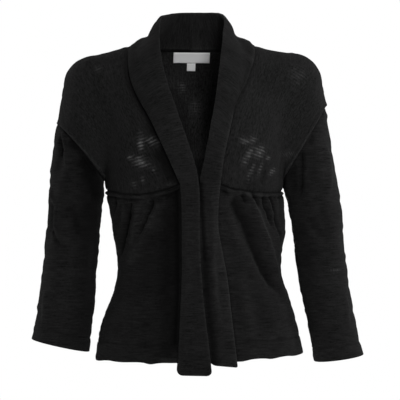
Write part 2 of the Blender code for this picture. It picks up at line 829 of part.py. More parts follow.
def build_collar(side, seams):
    """A double band from the centre of the back, round the neck and down to its end."""
    sewn = sewn_edge(side, seams)
    to_shoulder = BACK_NECK_STEPS // 2 + 1
    level = sewn.points[:, 2].copy()
    level[:to_shoulder] = np.linspace(BACK_LEVEL, SHOULDER_LEVEL, to_shoulder)
    table = FREE_EDGE[side]
    free = np.stack([read(table, name, level, "level") for name in ("x", "y", "height")], axis=1)
    bulge = read(table, "bulge", level, "level")

    across = np.array(COLLAR_COLUMNS)
    chord = free - sewn.points
    out = unit(np.cross(np.gradient(sewn.points + free, axis=0), chord))
    out *= np.sign((out * sewn.normals).sum(-1, keepdims=True))
    roll = (4 * across * (1 - across)) ** 0.6
    grid = sewn.points[:, None] + chord[:, None] * across[:, None]
    grid = grid + out[:, None] * (bulge[:, None] * roll)[..., None]
    normals = grid_normals(grid, np.broadcast_to(out[:, None], grid.shape))
    # Both halves meet in the plane of the centre back.
    grid[0, :, 0] = 0
    normals[0, :, 0] = 0
    normals = unit(normals)
    # The rows of the grid run with the seam, so the sewn edge is its bottom border.
    shift = on_seams(grid, normals, {"bottom": sewn})
    normals[0, 0, 0] = 0
    shift[0, :, 0] = SIDES[side] * SEAM_GAP / 2
    thickness = np.full(len(across), COLLAR_WALL)
    thickness[0] = WALL
    wall_of(f"collar_band_{side}", grid, normals, shift, thickness)


def build_tab(name, tab):
    """A thin tab that hangs on the inside of the back yoke, made from its points."""
    across = tab.x + tab.width * np.linspace(-0.5, 0.5, 7)
    down = tab.top - tab.drop * np.linspace(0, 1, 4)
    grid = settle([[(x, TORSO[-2].back, z) for z in down] for x in across], (0, 1, 0))
    normals = unit(slope(grid))
    outer = grid - normals * (WALL + LABEL_CLEAR)
    inner = outer - normals * LABEL_WALL
    wall_object(name, outer, inner, colour=LABEL_GREY, roughness=LABEL_ROUGHNESS)


def main():
    for obj in list(bpy.data.objects):
        bpy.data.objects.remove(obj, do_unlink=True)
    seams = build_seams()
    build_yokes(seams)
    for side in SIDES:
        build_sleeve(side, seams)
    build_skirts(seams)
    for side in SIDES:
        build_collar(side, seams)
    build_tab("neck_label", LABEL)
    build_tab("size_tab", SIZE_TAB)


main()
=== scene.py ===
# %% [markdown]
# # A kimono cardigan in fine slub knit
#
# The real cardigan is cut from a thin black jersey whose yarn is thicker in some places
# than in others.  Deep kimono shoulders, three-quarter sleeves, a lower body gathered into
# a high waist seam, and a double shawl collar that runs on down both fronts as bands.  The
# photograph shows it filled out as if worn, with nobody in it.
#
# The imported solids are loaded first, because each piece below has to sit where they sit.

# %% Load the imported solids
import math
from collections import namedtuple

import bmesh
import bpy
import numpy as np
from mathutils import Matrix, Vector


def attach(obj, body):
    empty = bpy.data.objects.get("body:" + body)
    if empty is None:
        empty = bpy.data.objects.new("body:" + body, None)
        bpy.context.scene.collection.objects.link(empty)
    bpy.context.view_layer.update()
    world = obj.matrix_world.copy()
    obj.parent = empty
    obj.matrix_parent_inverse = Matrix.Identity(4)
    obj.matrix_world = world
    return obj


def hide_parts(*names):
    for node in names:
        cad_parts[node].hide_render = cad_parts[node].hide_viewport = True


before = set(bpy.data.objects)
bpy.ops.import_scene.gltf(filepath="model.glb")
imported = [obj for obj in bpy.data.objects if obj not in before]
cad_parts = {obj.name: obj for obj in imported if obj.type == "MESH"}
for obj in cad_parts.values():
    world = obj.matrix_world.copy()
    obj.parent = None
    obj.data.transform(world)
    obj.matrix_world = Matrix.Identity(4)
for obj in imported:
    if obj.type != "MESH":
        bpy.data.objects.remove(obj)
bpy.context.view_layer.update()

# %% [markdown]
# ## Sizes
#
# A garment has no straight lines to measure, so its form is kept as short tables of
# sections, in millimetres.  Heights are above the origin, which lies between the shoulders.
# The front of the garment faces -Y, and right and left are the wearer's.  The same tables
# made the solids, so the cloth made here lies on them.

# %% Names for the rows of the tables
MM = 0.001
SIDES = {"right": -1, "left": 1}
Section = namedtuple("Section", "height right left front back")
Arm = namedtuple("Arm", "height centre half_width half_depth forward")
Bar = namedtuple("Bar", "out height radius")
Ring = namedtuple("Ring", "over_out over_height under_out under_height bow")
Cuff = namedtuple("Cuff", "height tilt")
Edge = namedtuple("Edge", "x y height")
Place = namedtuple("Place", "x height")
Lapel = namedtuple("Lapel", "level x y height bulge")


def numbers(text):
    """The numbers of a table that is written as text, one row to a line."""
    return [[float(word) for word in line.split()] for line in text.strip().splitlines()]


def table(kind, text):
    """The same rows, each with the names of its columns."""
    return tuple(kind(*row) for row in numbers(text))


print("a row of the body's table:", table(Section, "-150 145 146 121 98")[0])

# %% The body's sections, and the bars that carry the shoulders
TORSO = table(Section, """
-216 138.5 142.5 101 92
-150 145 146 121 98
-100 148 148 108 102
-50 148 148 84 95
-10 130 130 60 79
15 93 93 44 61
30 60 60 30 48
""")
TORSO_SQUARENESS = 2.3
SHOULDER_BARS = {
    "right": table(Bar, """
0 -38 43
100 -37 45
157 -48 49
"""),
    "left": table(Bar, """
0 -38 43
100 -37 45
158 -44 46
"""),
}
SKIRT = table(Section, """
-216 138.5 142.5 101 92
-250 132.5 146.5 99 89
-275 129 148 98 87
-326 121.5 141 98 86
-352 121.5 142 99 88
-378 127.5 151 102 91
-429 146 165 109 100
-482 154 176 117 110
""")
SKIRT_SQUARENESS = 2.25
print("round the chest:", round(2 * math.pi * math.sqrt((146**2 + 110**2) / 2)), "mm")

# %% The arms' sections, from the shoulder down to the cuff
ARMS = {
    "right": table(Arm, """
-48 164 42 47 0
-80 171.5 41.5 49 -1
-110 175.5 42 51 -2
-150 180 43 52 -3
-185 184 43.5 52 -4
-211 185.5 43.5 51 -5
-262 189.6 42.4 49 -7
-301 192.8 43.5 47 -9
-339 196 42.6 45 -11
-378 199.5 43.8 43 -13
-416 204.8 44.8 42 -15
-475 214 48 43 -18
"""),
    "left": table(Arm, """
-44 163.5 40 46 0
-80 171 42 49 -1
-110 175 42 51 -2
-150 180 43 52 -3
-185 185.5 43.5 52 -4
-211 189.5 44.3 51 -5
-237 194.4 42.6 50 -6
-262 198.4 41.6 49 -7
-301 202.4 40.8 47 -9
-339 206.4 40 45 -11
-378 211.2 38.6 43 -13
-416 218.4 37.8 42 -15
-490 234 40 43 -18
"""),
}
ARMHOLES = {
    "right": Ring(217, -109, 141, -199, 3),
    "left": Ring(213, -79, 142.5, -197, 5),
}
ARMHOLE_DEPTH = 50.0
CUFFS = {"right": Cuff(-460.3, 10), "left": Cuff(-482.6, 5.5)}
BLEND_TOP, BLEND_LOW = 34.0, 3.0
BLEND_FROM, BLEND_TO = -198.0, -140.0
BAR_BLEND = 6.0
print("the arms reach down to", {side: arm[-1].height for side, arm in ARMS.items()})

# %% The lines that the pieces are sewn along
SHOULDER_LINE = table(Edge, """
99 4 16
130 2 7
162 0 1
186 0 -6
199 0 -20
207 -1 -45
""")
COLLAR_SEAM = {
    "right": table(Edge, """
-99 4 16
-105 -30 -9
-103 -58 -35
-92 -78 -67
-73 -98 -104
-54 -113 -146
-35 -112 -187
-26 -106 -206
"""),
    "left": table(Edge, """
99 4 16
90 -46 -21
80 -66 -45
66 -84 -74
57 -96 -94
47 -110 -130
40 -114 -161
35 -106 -207
"""),
}
BACK_NECK = table(Edge, """
-99 4 16
-80 38 15
-45 56 14
0 62 13
45 56 14
80 38 15
99 4 16
""")
EMPIRE_SEAM = {
    "right": table(Edge, """
-26 -106 -206
-50 -104 -214
-80 -96 -220
-103 -80 -222
-128 -40 -218
-138.5 3 -215
"""),
    "left": table(Edge, """
35 -106 -207
53 -103 -212
80 -95 -217
105 -78 -219
132 -40 -218
142.5 3 -215
"""),
}
EMPIRE_BACK, EMPIRE_BACK_DEPTH = -214.0, 95.0
HEM = table(Place, """
-138 -484.5
-128 -482
-103 -482
-78 -481.6
-65 -484.2
-52 -481.6
-34 -481.3
35 -480.5
43 -480.4
57 -477.6
78 -476.9
87 -477.8
104 -475.2
112 -475
122 -475.9
143 -475
""")
BAND_SEAM = {
    "right": table(Place, """
-26 -206
-23.6 -240
-22.6 -300
-23 -353
-25.5 -400
-28.5 -445
-31 -483
"""),
    "left": table(Place, """
35 -207
32 -240
32 -277
38 -310
46 -354
51 -400
56 -445
60 -483
"""),
}
BAND_END = {"right": -500.0, "left": -489.0}
print("cuffs at", {side: cuff.height for side, cuff in CUFFS.items()}, "mm")

# %% The collar's free edge, from the centre of the back down to the band's end
SHOULDER_LEVEL, BACK_LEVEL = 16.0, 76.0
FREE_EDGE = {
    "right": table(Lapel, """
76 0 52 75.2 2
56 -25 48 73.8 1
36 -42 32 69.4 -3
16 -52 4 63 -9
-9 -55 -34 33 2
-35 -53.5 -62 -2 8
-67 -47 -83 -40 10
-104 -33 -103 -86 9
-146 -16 -118 -138 7
-187 -1 -120 -186 5
-206 2 -117 -206 4
-277 3 -116 -277 3.5
-323 4.5 -118 -323 3.5
-368 7.3 -122 -368 3.5
-414 11.5 -128 -414 3.5
-452 16 -132 -452 3
-500 20.5 -135 -500 2.5
"""),
    "left": table(Lapel, """
76 0 52 75.2 2
56 26 48 74.8 1
36 46 32 72.6 -3
16 51 4 64 -9.5
-21 42 -50 20 5
-45 37 -68 -12 8
-74 32 -84 -48 8
-94 28.5 -92 -70 8
-130 20 -108 -112 6
-161 12 -115 -153 5
-207 1 -107 -207 4
-277 0 -106 -277 5
-326 2 -107 -326 6
-384 5 -111 -384 6
-445 11 -116 -445 6
-489 14 -119 -484.5 6
"""),
}
print("the bands end at", BAND_END, "mm")

# %% [markdown]
# ## Reading the tables
#
# A row of a table is a place where the form is known.  Between the rows the form has to be
# smooth, or the cloth would show a kink at each row.  A Hermite curve passes through every
# row and takes its slope from the rows on both sides, so it neither kinks nor overshoots much.


# %% Smooth curves through the tables
def column(table, name):
    return np.array([getattr(row, name) for row in table], float)


def through(knots, values, at):
    """A smooth curve through the values, read at any place between the knots."""
    knots, values = np.asarray(knots, float), np.asarray(values, float)
    if knots[0] > knots[-1]:
        knots, values = knots[::-1], values[::-1]
    slopes = np.gradient(values, knots, axis=0)
    at = np.clip(at, knots[0], knots[-1])
    cell = np.clip(np.searchsorted(knots, at, side="right") - 1, 0, len(knots) - 2)
    span = knots[cell + 1] - knots[cell]
    t = (at - knots[cell]) / span
    more = (1,) * (values.ndim - 1)
    t, span = t.reshape(t.shape + more), span.reshape(span.shape + more)
    return (
        values[cell] * (1 + 2 * t) * (1 - t) ** 2
        + values[cell + 1] * t * t * (3 - 2 * t)
        + span * t * (1 - t) * (slopes[cell] * (1 - t) - slopes[cell + 1] * t)
    )


def read(table, name, at, knots="height"):
    return through(column(table, knots), column(table, name), at)


def smoothstep(low, high, value):
    t = np.clip((value - low) / (high - low), 0, 1)
    return t * t * (3 - 2 * t)


def unit(vectors):
    return vectors / np.maximum(np.linalg.norm(vectors, axis=-1, keepdims=True), 1e-9)


def rows_of(edges):
    return np.array([[e.x, e.y, e.height] for e in edges], float)


print("the chest is", read(TORSO, "front", -83.0), "mm deep in front at -83 mm")

# %% [markdown]
# ## The figure under the yokes
#
# The yokes have no form of their own: they lie on the shoulders and the chest.  So the
# figure comes first, as a field that is below zero inside.  Fields are easy to run into
# each other, which is what makes the soft hollow between arm and chest.  Its shape is a
# general one, worked out from the tables, and none of it is ever seen.


# %% The figure as a field
def blended_least(a, b, reach):
    """The smaller of two fields, run together over a distance."""
    share = np.clip(reach - np.abs(a - b), 0, None) / reach
    return np.minimum(a, b) - share * share * reach / 4


def torso_field(points):
    x, y, z = points[..., 0], points[..., 1], points[..., 2]
    half = np.where(x < 0, read(TORSO, "right", z), read(TORSO, "left", z))
    front, back = read(TORSO, "front", z), read(TORSO, "back", z)
    n = TORSO_SQUARENESS
    reach = np.abs(x / half) ** n + np.abs(y / np.where(y < 0, front, back)) ** n
    return (reach ** (1 / n) - 1) * (front + back) / 2


def bar_field(points, side):
    bar = SHOULDER_BARS[side]
    out = np.maximum(SIDES[side] * points[..., 0], 0)
    above = points[..., 2] - read(bar, "height", out, "out")
    past = np.maximum(out - bar[-1].out, 0)
    return np.sqrt(past**2 + points[..., 1] ** 2 + above**2) - read(bar, "radius", out, "out")


def arm_field(points, side):
    arm = ARMS[side]
    x, y, z = points[..., 0], points[..., 1], points[..., 2]
    half, depth = read(arm, "half_width", z), read(arm, "half_depth", z)
    across = SIDES[side] * x - read(arm, "centre", z)
    along = (y - read(arm, "forward", z)) * half / depth
    above = np.maximum(z - arm[0].height, 0)
    return np.sqrt(across**2 + along**2 + above**2) - half


def figure(points):
    limbs = [
        blended_least(arm_field(points, side), bar_field(points, side), BAR_BLEND)
        for side in SIDES
    ]
    limb = np.where(points[..., 0] < 0, *limbs)
    near_shoulder = smoothstep(BLEND_FROM, BLEND_TO, points[..., 2])
    reach = BLEND_LOW + (BLEND_TOP - BLEND_LOW) * near_shoulder
    return blended_least(torso_field(points), limb, reach)


print("just inside the chest:", figure(np.array([[0.0, -100.0, -130.0]])), "mm")

# %% Laying points on the figure
def slope(points, step=0.05):
    axes = np.eye(3) * step
    return np.stack(
        [(figure(points + a) - figure(points - a)) / (2 * step) for a in axes], axis=-1
    )


def settle(points, free=(1, 1, 1), rounds=8):
    """Moves points onto the figure's surface, along the free axes alone."""
    points = np.array(points, float)
    for _ in range(rounds):
        along = slope(points) * np.array(free, float)
        length = np.maximum((along**2).sum(-1), 0.05)
        points -= np.clip(figure(points) / length, -8, 8)[..., None] * along
    return points


def resampled(line, at, knots):
    return np.stack([np.interp(at, knots, line[:, k]) for k in range(line.shape[1])], axis=1)


def run_of(line):
    """The length of the way along a line, up to each of its points."""
    return np.concatenate([[0], np.cumsum(np.linalg.norm(np.diff(line, axis=0), axis=1))])


def evenly(points, steps, dense=400):
    """The same curve, smooth through its points, in equal steps."""
    knots = run_of(points)
    fine = through(knots, points, np.linspace(0, knots[-1], dense))
    run = run_of(fine)
    return resampled(fine, np.linspace(0, run[-1], steps + 1), run)


print("laid on the chest:", settle([[0.0, -100.0, -130.0]], (0, 1, 0)))

# %% [markdown]
# ## Seams
#
# Two pieces that are sewn together have to end on the same line.  So the seams are worked
# out once, before any piece, and each piece is stretched between its own seams.  A seam
# here may have several smooth parts, such as a side seam that turns into an armhole.


# %% A seam, in one or more smooth parts
SIDE_STEPS = 2
ARMHOLE_STEPS = 12
SHOULDER_STEPS = 10
BACK_NECK_STEPS = 8


class Seam:
    def __init__(self, *parts):
        self.parts = parts

    @property
    def points(self):
        return np.concatenate([self.parts[0], *(part[1:] for part in self.parts[1:])])

    @property
    def stops(self):
        """The places where one part ends, counted in steps from the start."""
        return np.concatenate([[0], np.cumsum([len(part) - 1 for part in self.parts])])

    def at(self, places):
        out = np.empty((len(places), 3))
        for part, start in zip(self.parts, self.stops):
            steps = len(part) - 1
            here = (places > start - 1e-9) & (places < start + steps + 1e-9)
            out[here] = through(np.arange(steps + 1), part, places[here] - start)
        return out

    def flipped(self):
        return Seam(*(part[::-1] for part in self.parts[::-1]))

    def __add__(self, other):
        return Seam(*self.parts, *other.parts)

# %% The armhole
def armhole_half(side, facing):
    """Half of the armhole, from the underarm to the top of the arm, in a slanted sheet."""
    ring, sign = ARMHOLES[side], SIDES[side]
    over = np.array([sign * ring.over_out, -2.0, ring.over_height])
    under = np.array([sign * ring.under_out, -4.0, ring.under_height])
    turn = np.linspace(0, math.pi, 8 * ARMHOLE_STEPS + 1)[:, None]
    middle, reach = (over + under) / 2, (over - under) / 2
    depth = np.array([0, facing * ARMHOLE_DEPTH, 0])
    points = middle - reach * np.cos(turn) + depth * np.sin(turn)
    points[:, 2] += ring.bow * np.sin(turn[:, 0]) ** 2
    sheet = np.cross(unit(reach), [0, 1, 0])
    for _ in range(40):
        down = slope(points)
        flat = down - (down @ sheet)[:, None] * sheet
        flat[[0, -1], 1] = 0
        size = np.maximum((flat**2).sum(-1), 0.05)
        points -= 0.6 * np.clip(figure(points) / size, -4, 4)[:, None] * flat
    return evenly(points[::4], ARMHOLE_STEPS)


# %% The seams of each side
seams = {}
for side, sign in SIDES.items():
    front, back = armhole_half(side, -1), armhole_half(side, 1)
    back[0], back[-1] = front[0], front[-1]
    seams["armhole", side, "front"], seams["armhole", side, "back"] = Seam(front), Seam(back)

    shoulder = settle(rows_of(SHOULDER_LINE) * [sign, 1, 1], (1, 0, 1))
    shoulder = settle(evenly(np.vstack([shoulder, front[-1]]), SHOULDER_STEPS), (1, 0, 1))
    shoulder[-1] = front[-1]
    seams["shoulder", side] = Seam(shoulder)

    neck = settle(rows_of(COLLAR_SEAM[side]), (0, 1, 1))
    neck = settle(evenly(neck, SIDE_STEPS + ARMHOLE_STEPS), (0, 1, 1))
    neck[0] = shoulder[0]
    seams["neck", side] = Seam(neck)

    empire = settle(rows_of(EMPIRE_SEAM[side]), (1, 1, 0))
    empire = settle(evenly(empire, SHOULDER_STEPS), (1, 1, 0))
    empire[0] = neck[-1]
    seams["empire", side] = Seam(empire)

    under = np.linspace(empire[-1], front[0], SIDE_STEPS + 1)
    under[1:-1] = settle(under[1:-1], (1, 0, 0))
    seams["side", side] = Seam(under)
    print(side, "armhole:", round(run_of(front)[-1] + run_of(back)[-1]), "mm round")

# %% The seams of the back
ends = [seams["shoulder", side].points[0] for side in SIDES]
neck = settle(evenly(rows_of(BACK_NECK), BACK_NECK_STEPS), (0, 1, 1))
neck[0], neck[-1] = ends
seams["neck", "back"] = Seam(neck)

start, end = (seams["empire", side].points[-1] for side in SIDES)
turn = np.linspace(0, math.pi, 60)
middle, half = (start[0] + end[0]) / 2, (end[0] - start[0]) / 2
heights = EMPIRE_BACK + (start[2] - EMPIRE_BACK) * np.cos(turn) ** 4
line = np.stack([middle - half * np.cos(turn), EMPIRE_BACK_DEPTH * np.sin(turn), heights], 1)
line = evenly(settle(line, (1, 1, 0)), 2 * SHOULDER_STEPS + BACK_NECK_STEPS)
line[0], line[-1] = start, end
seams["empire", "back"] = Seam(line)
print("empire seam at the back:", round(run_of(line)[-1]), "mm")

# %% [markdown]
# ## From a grid of points to cloth
#
# Each piece of cloth is one grid.  bmesh.ops.create_grid makes the sheet, its vertices are
# moved to their places, and extruding its faces gives the second side of the wall.  A
# Solidify modifier would do that too, but here the wall has to be thicker at a hem, and to
# round over at its edges, so both sides are placed by one profile.  The rows are closer
# together by an edge, where the cloth turns over most.

# %% How close the points of the cloth are
EDGE_ROWS = (0, 0.2, 0.7, 1.5, 2.6, 4.0, 5.7, 7.6)


def places(length, step, stops=(), close=(True, True)):
    """Distances along a length: close together by its ends, and on each stop."""
    near = np.array(EDGE_ROWS)
    start = near if close[0] else near[:1]
    stop = length - (near if close[1] else near[:1])[::-1]
    inner = np.linspace(start[-1], stop[0], max(2, round((stop[0] - start[-1]) / step)) + 1)
    at = np.concatenate([start, inner[1:-1], stop])
    for place in stops:
        at[np.argmin(np.abs(at - place))] = place
    return at


def lengths(grid, axis):
    """How far each point is along its own line of the grid."""
    steps = np.linalg.norm(np.diff(grid, axis=axis), axis=-1)
    first = np.zeros_like(np.take(steps, [0], axis=axis))
    return np.concatenate([first, np.cumsum(steps, axis=axis)], axis=axis)


def evened(distances, axis):
    """The same distance for a whole row or column, so that the knit doesn't shear."""
    return np.broadcast_to(distances.mean(axis=axis, keepdims=True), distances.shape)


def grid_normals(grid, outward):
    """The directions square to a grid, on the side that the outward hint points to."""
    normals = unit(np.cross(np.gradient(grid, axis=0), np.gradient(grid, axis=1)))
    return normals * (np.sign((normals * outward).sum()) or 1.0)


print("places along 40 mm:", places(40.0, 4.0).round(1))

# %% Unevenness, as knitted cloth has it
def uneven(along, across, long, tall, seed):
    """Smooth random heights from -1 to 1, in patches of a given length and height."""
    lattice = np.random.default_rng(seed).uniform(-1, 1, (64, 512))
    a, b = along / long, across / tall
    i, j = np.floor(a).astype(int), np.floor(b).astype(int)
    s, t = smoothstep(0, 1, a - i), smoothstep(0, 1, b - j)
    corner = lambda di, dj: lattice[(i + di) % 64, (j + dj) % 512]
    low = corner(0, 0) * (1 - s) + corner(1, 0) * s
    high = corner(0, 1) * (1 - s) + corner(1, 1) * s
    return low * (1 - t) + high * t


print("unevenness:", uneven(np.arange(4.0), np.zeros(4), 3, 1, 1).round(2))

# %% Edges that round over
def half_wall(thickness, distances, rounding):
    """Half the wall's thickness, which falls to nothing at the edges of the piece."""
    least = np.minimum.reduce([np.clip(d / rounding, 0, 1) for d in distances])
    return thickness / 2 * np.sqrt(np.maximum(1 - (1 - least) ** 2, 0.01))


Cloth = namedtuple("Cloth", "grid normals along across left right top bottom")


def measured(grid, outward):
    """A grid with the distances of each point from its four borders."""
    along, across = lengths(grid, 0), lengths(grid, 1)
    normals = grid_normals(grid, outward)
    return Cloth(
        grid, normals, along, across, along, along[-1:] - along, across[:, -1:] - across, across
    )


# %% [markdown]
# ## One pattern of knit, and the making of a piece
#
# All the cloth comes off one bolt, but no two pieces have the same streaks.  So each kind
# of piece starts at its own place on an endless pattern, and its unevenness has its own
# seed.  Then the wall is closed: the outer side, the inner side and the edges between them.

# %% Where each piece lies on the pattern, and how uneven it is
PATTERN = {"yoke": 0.0, "sleeve": 6.1, "skirt": 11.3, "collar": 17.9, "label": 23.3}
PATTERN_STEP = 1.7
# Painted light: the inside of the cloth is made this many times lighter in colour.
INSIDE_PAINTED_LIGHT = 1.7
Flow = namedtuple("Flow", "rise long tall seed")
FLOWS = {
    "yoke": Flow(0.45, 9, 40, 3),
    "sleeve": Flow(1.1, 45, 8, 13),
    "skirt": Flow(0.6, 50, 6, 23),
    "collar": Flow(0.5, 60, 7, 33),
    "gathers": Flow(1.0, 7, 1, 43),
    "pinches": Flow(0.5, 11, 1, 53),
    "hem": Flow(0.6, 26, 1, 63),
}


def pattern_at(kind, number):
    return PATTERN[kind] + PATTERN_STEP * number


def flowing(kind, number, along, across=0.0):
    """The unevenness of one piece, in millimetres."""
    flow = FLOWS[kind]
    return flow.rise * uneven(along, across, flow.long, flow.tall, flow.seed + number)


print("the most uneven:", max(FLOWS, key=lambda kind: FLOWS[kind].rise))

# %% The cloth laid flat
def flatten(mesh, flat, marks, inside):
    """Gives each corner its place on the flat cloth, in metres, and each point its marks.

    The points of the second side come last.  Their painted shading is multiplied by the inside
    factor, which paints the inside of the wall lighter."""
    number = np.empty(len(mesh.vertices), np.int32)
    mesh.attributes["number"].data.foreach_get("value", number)
    u, v = number % flat.shape[0], number // flat.shape[0]
    corner = np.empty(len(mesh.loops), np.int32)
    mesh.loops.foreach_get("vertex_index", corner)
    uv_map = mesh.uv_layers.new(name="flat_cloth")
    uv_map.uv.foreach_set("vector", flat[u, v][corner].astype(np.float32).ravel())
    second = np.arange(len(number)) >= flat.shape[0] * flat.shape[1]
    for name, values in marks.items():
        at_points = values[u, v]
        # Painted light on the second side: its painted shading is multiplied by the inside factor.
        if name == "painted_shading":
            lighter = np.broadcast_to(inside, values.shape)[u, v]
            at_points = at_points * np.where(second, lighter, 1.0)
        attribute = mesh.attributes.new(name, "FLOAT", "POINT")
        attribute.data.foreach_set("value", at_points.astype(np.float32))
    mesh.attributes.remove(mesh.attributes["number"])


# The inside's painted light: how many times lighter its colour is made.
print("the wrong side is", INSIDE_PAINTED_LIGHT, "times as light")

# %% Making the piece
PIECES = []


def wall_piece(name, grid, normals, half, flat, shift, marks=None, inside=INSIDE_PAINTED_LIGHT):
    """A closed wall on both sides of a grid, with its place on the flat cloth."""
    count_u, count_v = grid.shape[:2]
    outer = (grid + normals * half[..., None]) * MM
    inner = (grid - normals * half[..., None]) * MM
    bm = bmesh.new()
    bmesh.ops.create_grid(bm, x_segments=count_u - 1, y_segments=count_v - 1, size=1)
    number = bm.verts.layers.int.new("number")
    for index, vert in enumerate(bm.verts):
        vert.co = outer[index % count_u, index // count_u]
        vert[number] = index
    made = bmesh.ops.extrude_face_region(bm, geom=bm.faces[:], use_keep_orig=True)
    for vert in (part for part in made["geom"] if isinstance(part, bmesh.types.BMVert)):
        vert.co = inner[vert[number] % count_u, vert[number] // count_u]
    bmesh.ops.recalc_face_normals(bm, faces=bm.faces)
    if bm.calc_volume(signed=True) < 0:
        bmesh.ops.reverse_faces(bm, faces=bm.faces)
    mesh = bpy.data.meshes.new(name)
    bm.to_mesh(mesh)
    bm.free()
    mesh.shade_smooth()
    flatten(mesh, np.stack(flat, axis=-1) * MM + shift, marks or {}, inside)
    piece = bpy.data.objects.new(f"{name}_cloth", mesh)
    bpy.context.scene.collection.objects.link(piece)
    PIECES.append((piece, name))
    long, tall = lengths(grid, 0)[-1].max(), lengths(grid, 1)[:, -1].max()
    print(f"{name}: {count_u} by {count_v} points, {long:.0f} by {tall:.0f} mm")
    return piece

# %% [markdown]
# ## Yokes
#
# The front yokes and the back yoke cover the chest, the shoulders and the upper arms in one
# piece each.  They are cut flat, sewn along the top of the shoulder, and take their form
# from the wearer.  A grid is stretched between the four seams of the yoke and evened out on
# the figure with few points, because that is quick.  Then it is read again at many points,
# its borders are set on the seams, and every point is laid on the figure once more.

# %% Stretching a grid between four seams
def stretched(bottom, top, first, last):
    """A grid stretched between four lines: its rows run with bottom and top."""
    u = np.linspace(0, 1, len(bottom))[:, None, None]
    v = np.linspace(0, 1, len(first))[None, :, None]
    grid = (1 - v) * bottom[:, None] + v * top[:, None]
    grid = grid + (1 - u) * first[None] + u * last[None]
    corners = (1 - u) * (1 - v) * bottom[0] + u * (1 - v) * bottom[-1]
    corners = corners + (1 - u) * v * top[0] + u * v * top[-1]
    return grid - corners


def laid_on_figure(grid, rounds=24):
    """Evens out a grid and lays it on the figure, with its border held."""
    inner = settle(grid[1:-1, 1:-1], rounds=10)
    for _ in range(rounds):
        grid[1:-1, 1:-1] = inner
        even = (grid[:-2, 1:-1] + grid[2:, 1:-1] + grid[1:-1, :-2] + grid[1:-1, 2:]) / 4
        inner = settle(inner + 0.5 * (even - inner), rounds=3)
    grid[1:-1, 1:-1] = inner
    return grid

# %% Borders let out, and the yoke's fine grid
def let_out(grid, amounts):
    """Moves the borders out past the seams: the first and last columns, then the rows."""
    moved = grid.copy()
    first, last, bottom, top = amounts
    moved[0] -= unit(grid[1] - grid[0]) * first
    moved[-1] -= unit(grid[-2] - grid[-1]) * last
    moved[:, 0] -= unit(grid[:, 1] - grid[:, 0]) * bottom
    moved[:, -1] -= unit(grid[:, -2] - grid[:, -1]) * top
    return moved


def yoke_grid(bottom, top, first, last, step):
    coarse = laid_on_figure(stretched(*(s.points for s in (bottom, top, first, last))))
    steps_u, steps_v = (count - 1 for count in coarse.shape[:2])
    long_u, long_v = lengths(coarse, 0)[-1].mean(), lengths(coarse, 1)[:, -1].mean()
    stops_u, stops_v = top.stops[1:-1] * long_u / steps_u, last.stops[1:-1] * long_v / steps_v
    at_u = places(long_u, step, stops_u) * steps_u / long_u
    at_v = places(long_v, step, stops_v) * steps_v / long_v
    fine = through(np.arange(steps_u + 1), coarse, at_u)
    fine = through(np.arange(steps_v + 1), fine.transpose(1, 0, 2), at_v).transpose(1, 0, 2)
    lines = (bottom.at(at_u), top.at(at_u), first.at(at_v), last.at(at_v))
    now = (fine[:, 0], fine[:, -1], fine[0], fine[-1])
    fine = fine + stretched(*(line - place for line, place in zip(lines, now)))
    fine[1:-1, 1:-1] = settle(fine[1:-1, 1:-1], rounds=4)
    return fine


# %% [markdown]
# ## Creases
#
# A crease in worn cloth is a low ridge or a shallow valley that follows a line and dies out
# at its ends.  Movement and steam make the real ones.  Here each is one row of a table, so
# it is quick to compare with a photograph and to correct: its width and its rise in
# millimetres, the painted shade or painted highlight it puts into the colour, the shares of
# its length over which it begins and ends, and then the points that it passes, as seen from
# the front.

# %% Creases along a path
# A row gives the width, rise, painted shade, begin and end, and then the points, each as x and
# height.
PATHS = {}


def paths_on(name, cloth):
    """The rise and fall of the creases drawn on one piece, and their painted shade and highlight.
    """
    rise, painted_shading = np.zeros(cloth.grid.shape[:2]), np.ones(cloth.grid.shape[:2])
    face = 1 if name.startswith("back") else -1
    for width, up, shade, begin, end, *points in numbers(PATHS.get(name, "")):
        here = cloth.grid[cloth.normals[..., 1] * face > -0.1]
        drawn = evenly(np.reshape(points, (-1, 2)), 24, 120)
        apart = np.linalg.norm(here[None, :, [0, 2]] - drawn[:, None], axis=-1)
        line = here[apart.argmin(1)]
        moved = np.linalg.norm(np.diff(line, axis=0), axis=1) > 0.5
        line = evenly(line[np.concatenate([[True], moved])], 60, 240)
        apart = np.linalg.norm(cloth.grid[..., None, :] - line, axis=-1)
        share, apart = apart.argmin(-1) / 60, apart.min(-1)
        fade = smoothstep(0, begin, share) * (1 - smoothstep(1 - end, 1, share))
        near = fade * np.exp(-((apart / width) ** 2))
        rise += up * near
        painted_shading *= 1 + shade * near
    return rise, painted_shading


# %% Creases of the skirts
PATHS["front_skirt_right"] = """
3.2 -6 -0.65 0.08 0.4 -101 -233 -104 -243 -108 -260 -112 -279 -117 -304
7.5 -9 -0.45 0.15 0.4 -105 -240 -110 -262 -115 -292 -122 -322 -128 -350
4 5 0.32 0.15 0.5 -111 -232 -115 -262 -119 -288
5 6 0.28 0.1 0.5 -90 -233 -94 -262 -99 -290 -107 -326
3.4 -7 -0.62 0.1 0.4 -70 -226 -68 -238 -75 -254 -84 -275 -93 -300
7 7.5 0.34 0.1 0.5 -58 -228 -66 -250 -78 -274 -99 -316 -116 -356
15 -10 -0.3 0.1 0.4 -47 -232 -47 -308 -50 -420
19 0 -0.5 0.01 0.01 -40 -205 -40 -300 -44 -380 -48 -476
8 -5 -0.85 0.02 0.1 -32 -207 -29 -290 -29 -380 -36 -470
22 -4 -0.34 0.2 0.3 -66 -262 -74 -320 -80 -400
2.6 -3.6 -0.35 0.1 0.6 -124 -230 -128 -256
2.4 -3.2 -0.35 0.1 0.6 -107 -229 -109 -249
2.4 -3.4 -0.3 0.1 0.6 -51 -218 -46 -232
20 4.5 0.06 0.3 0.3 -110 -380 -125 -470
16 -3.5 -0.12 0.3 0.3 -80 -390 -86 -480
"""
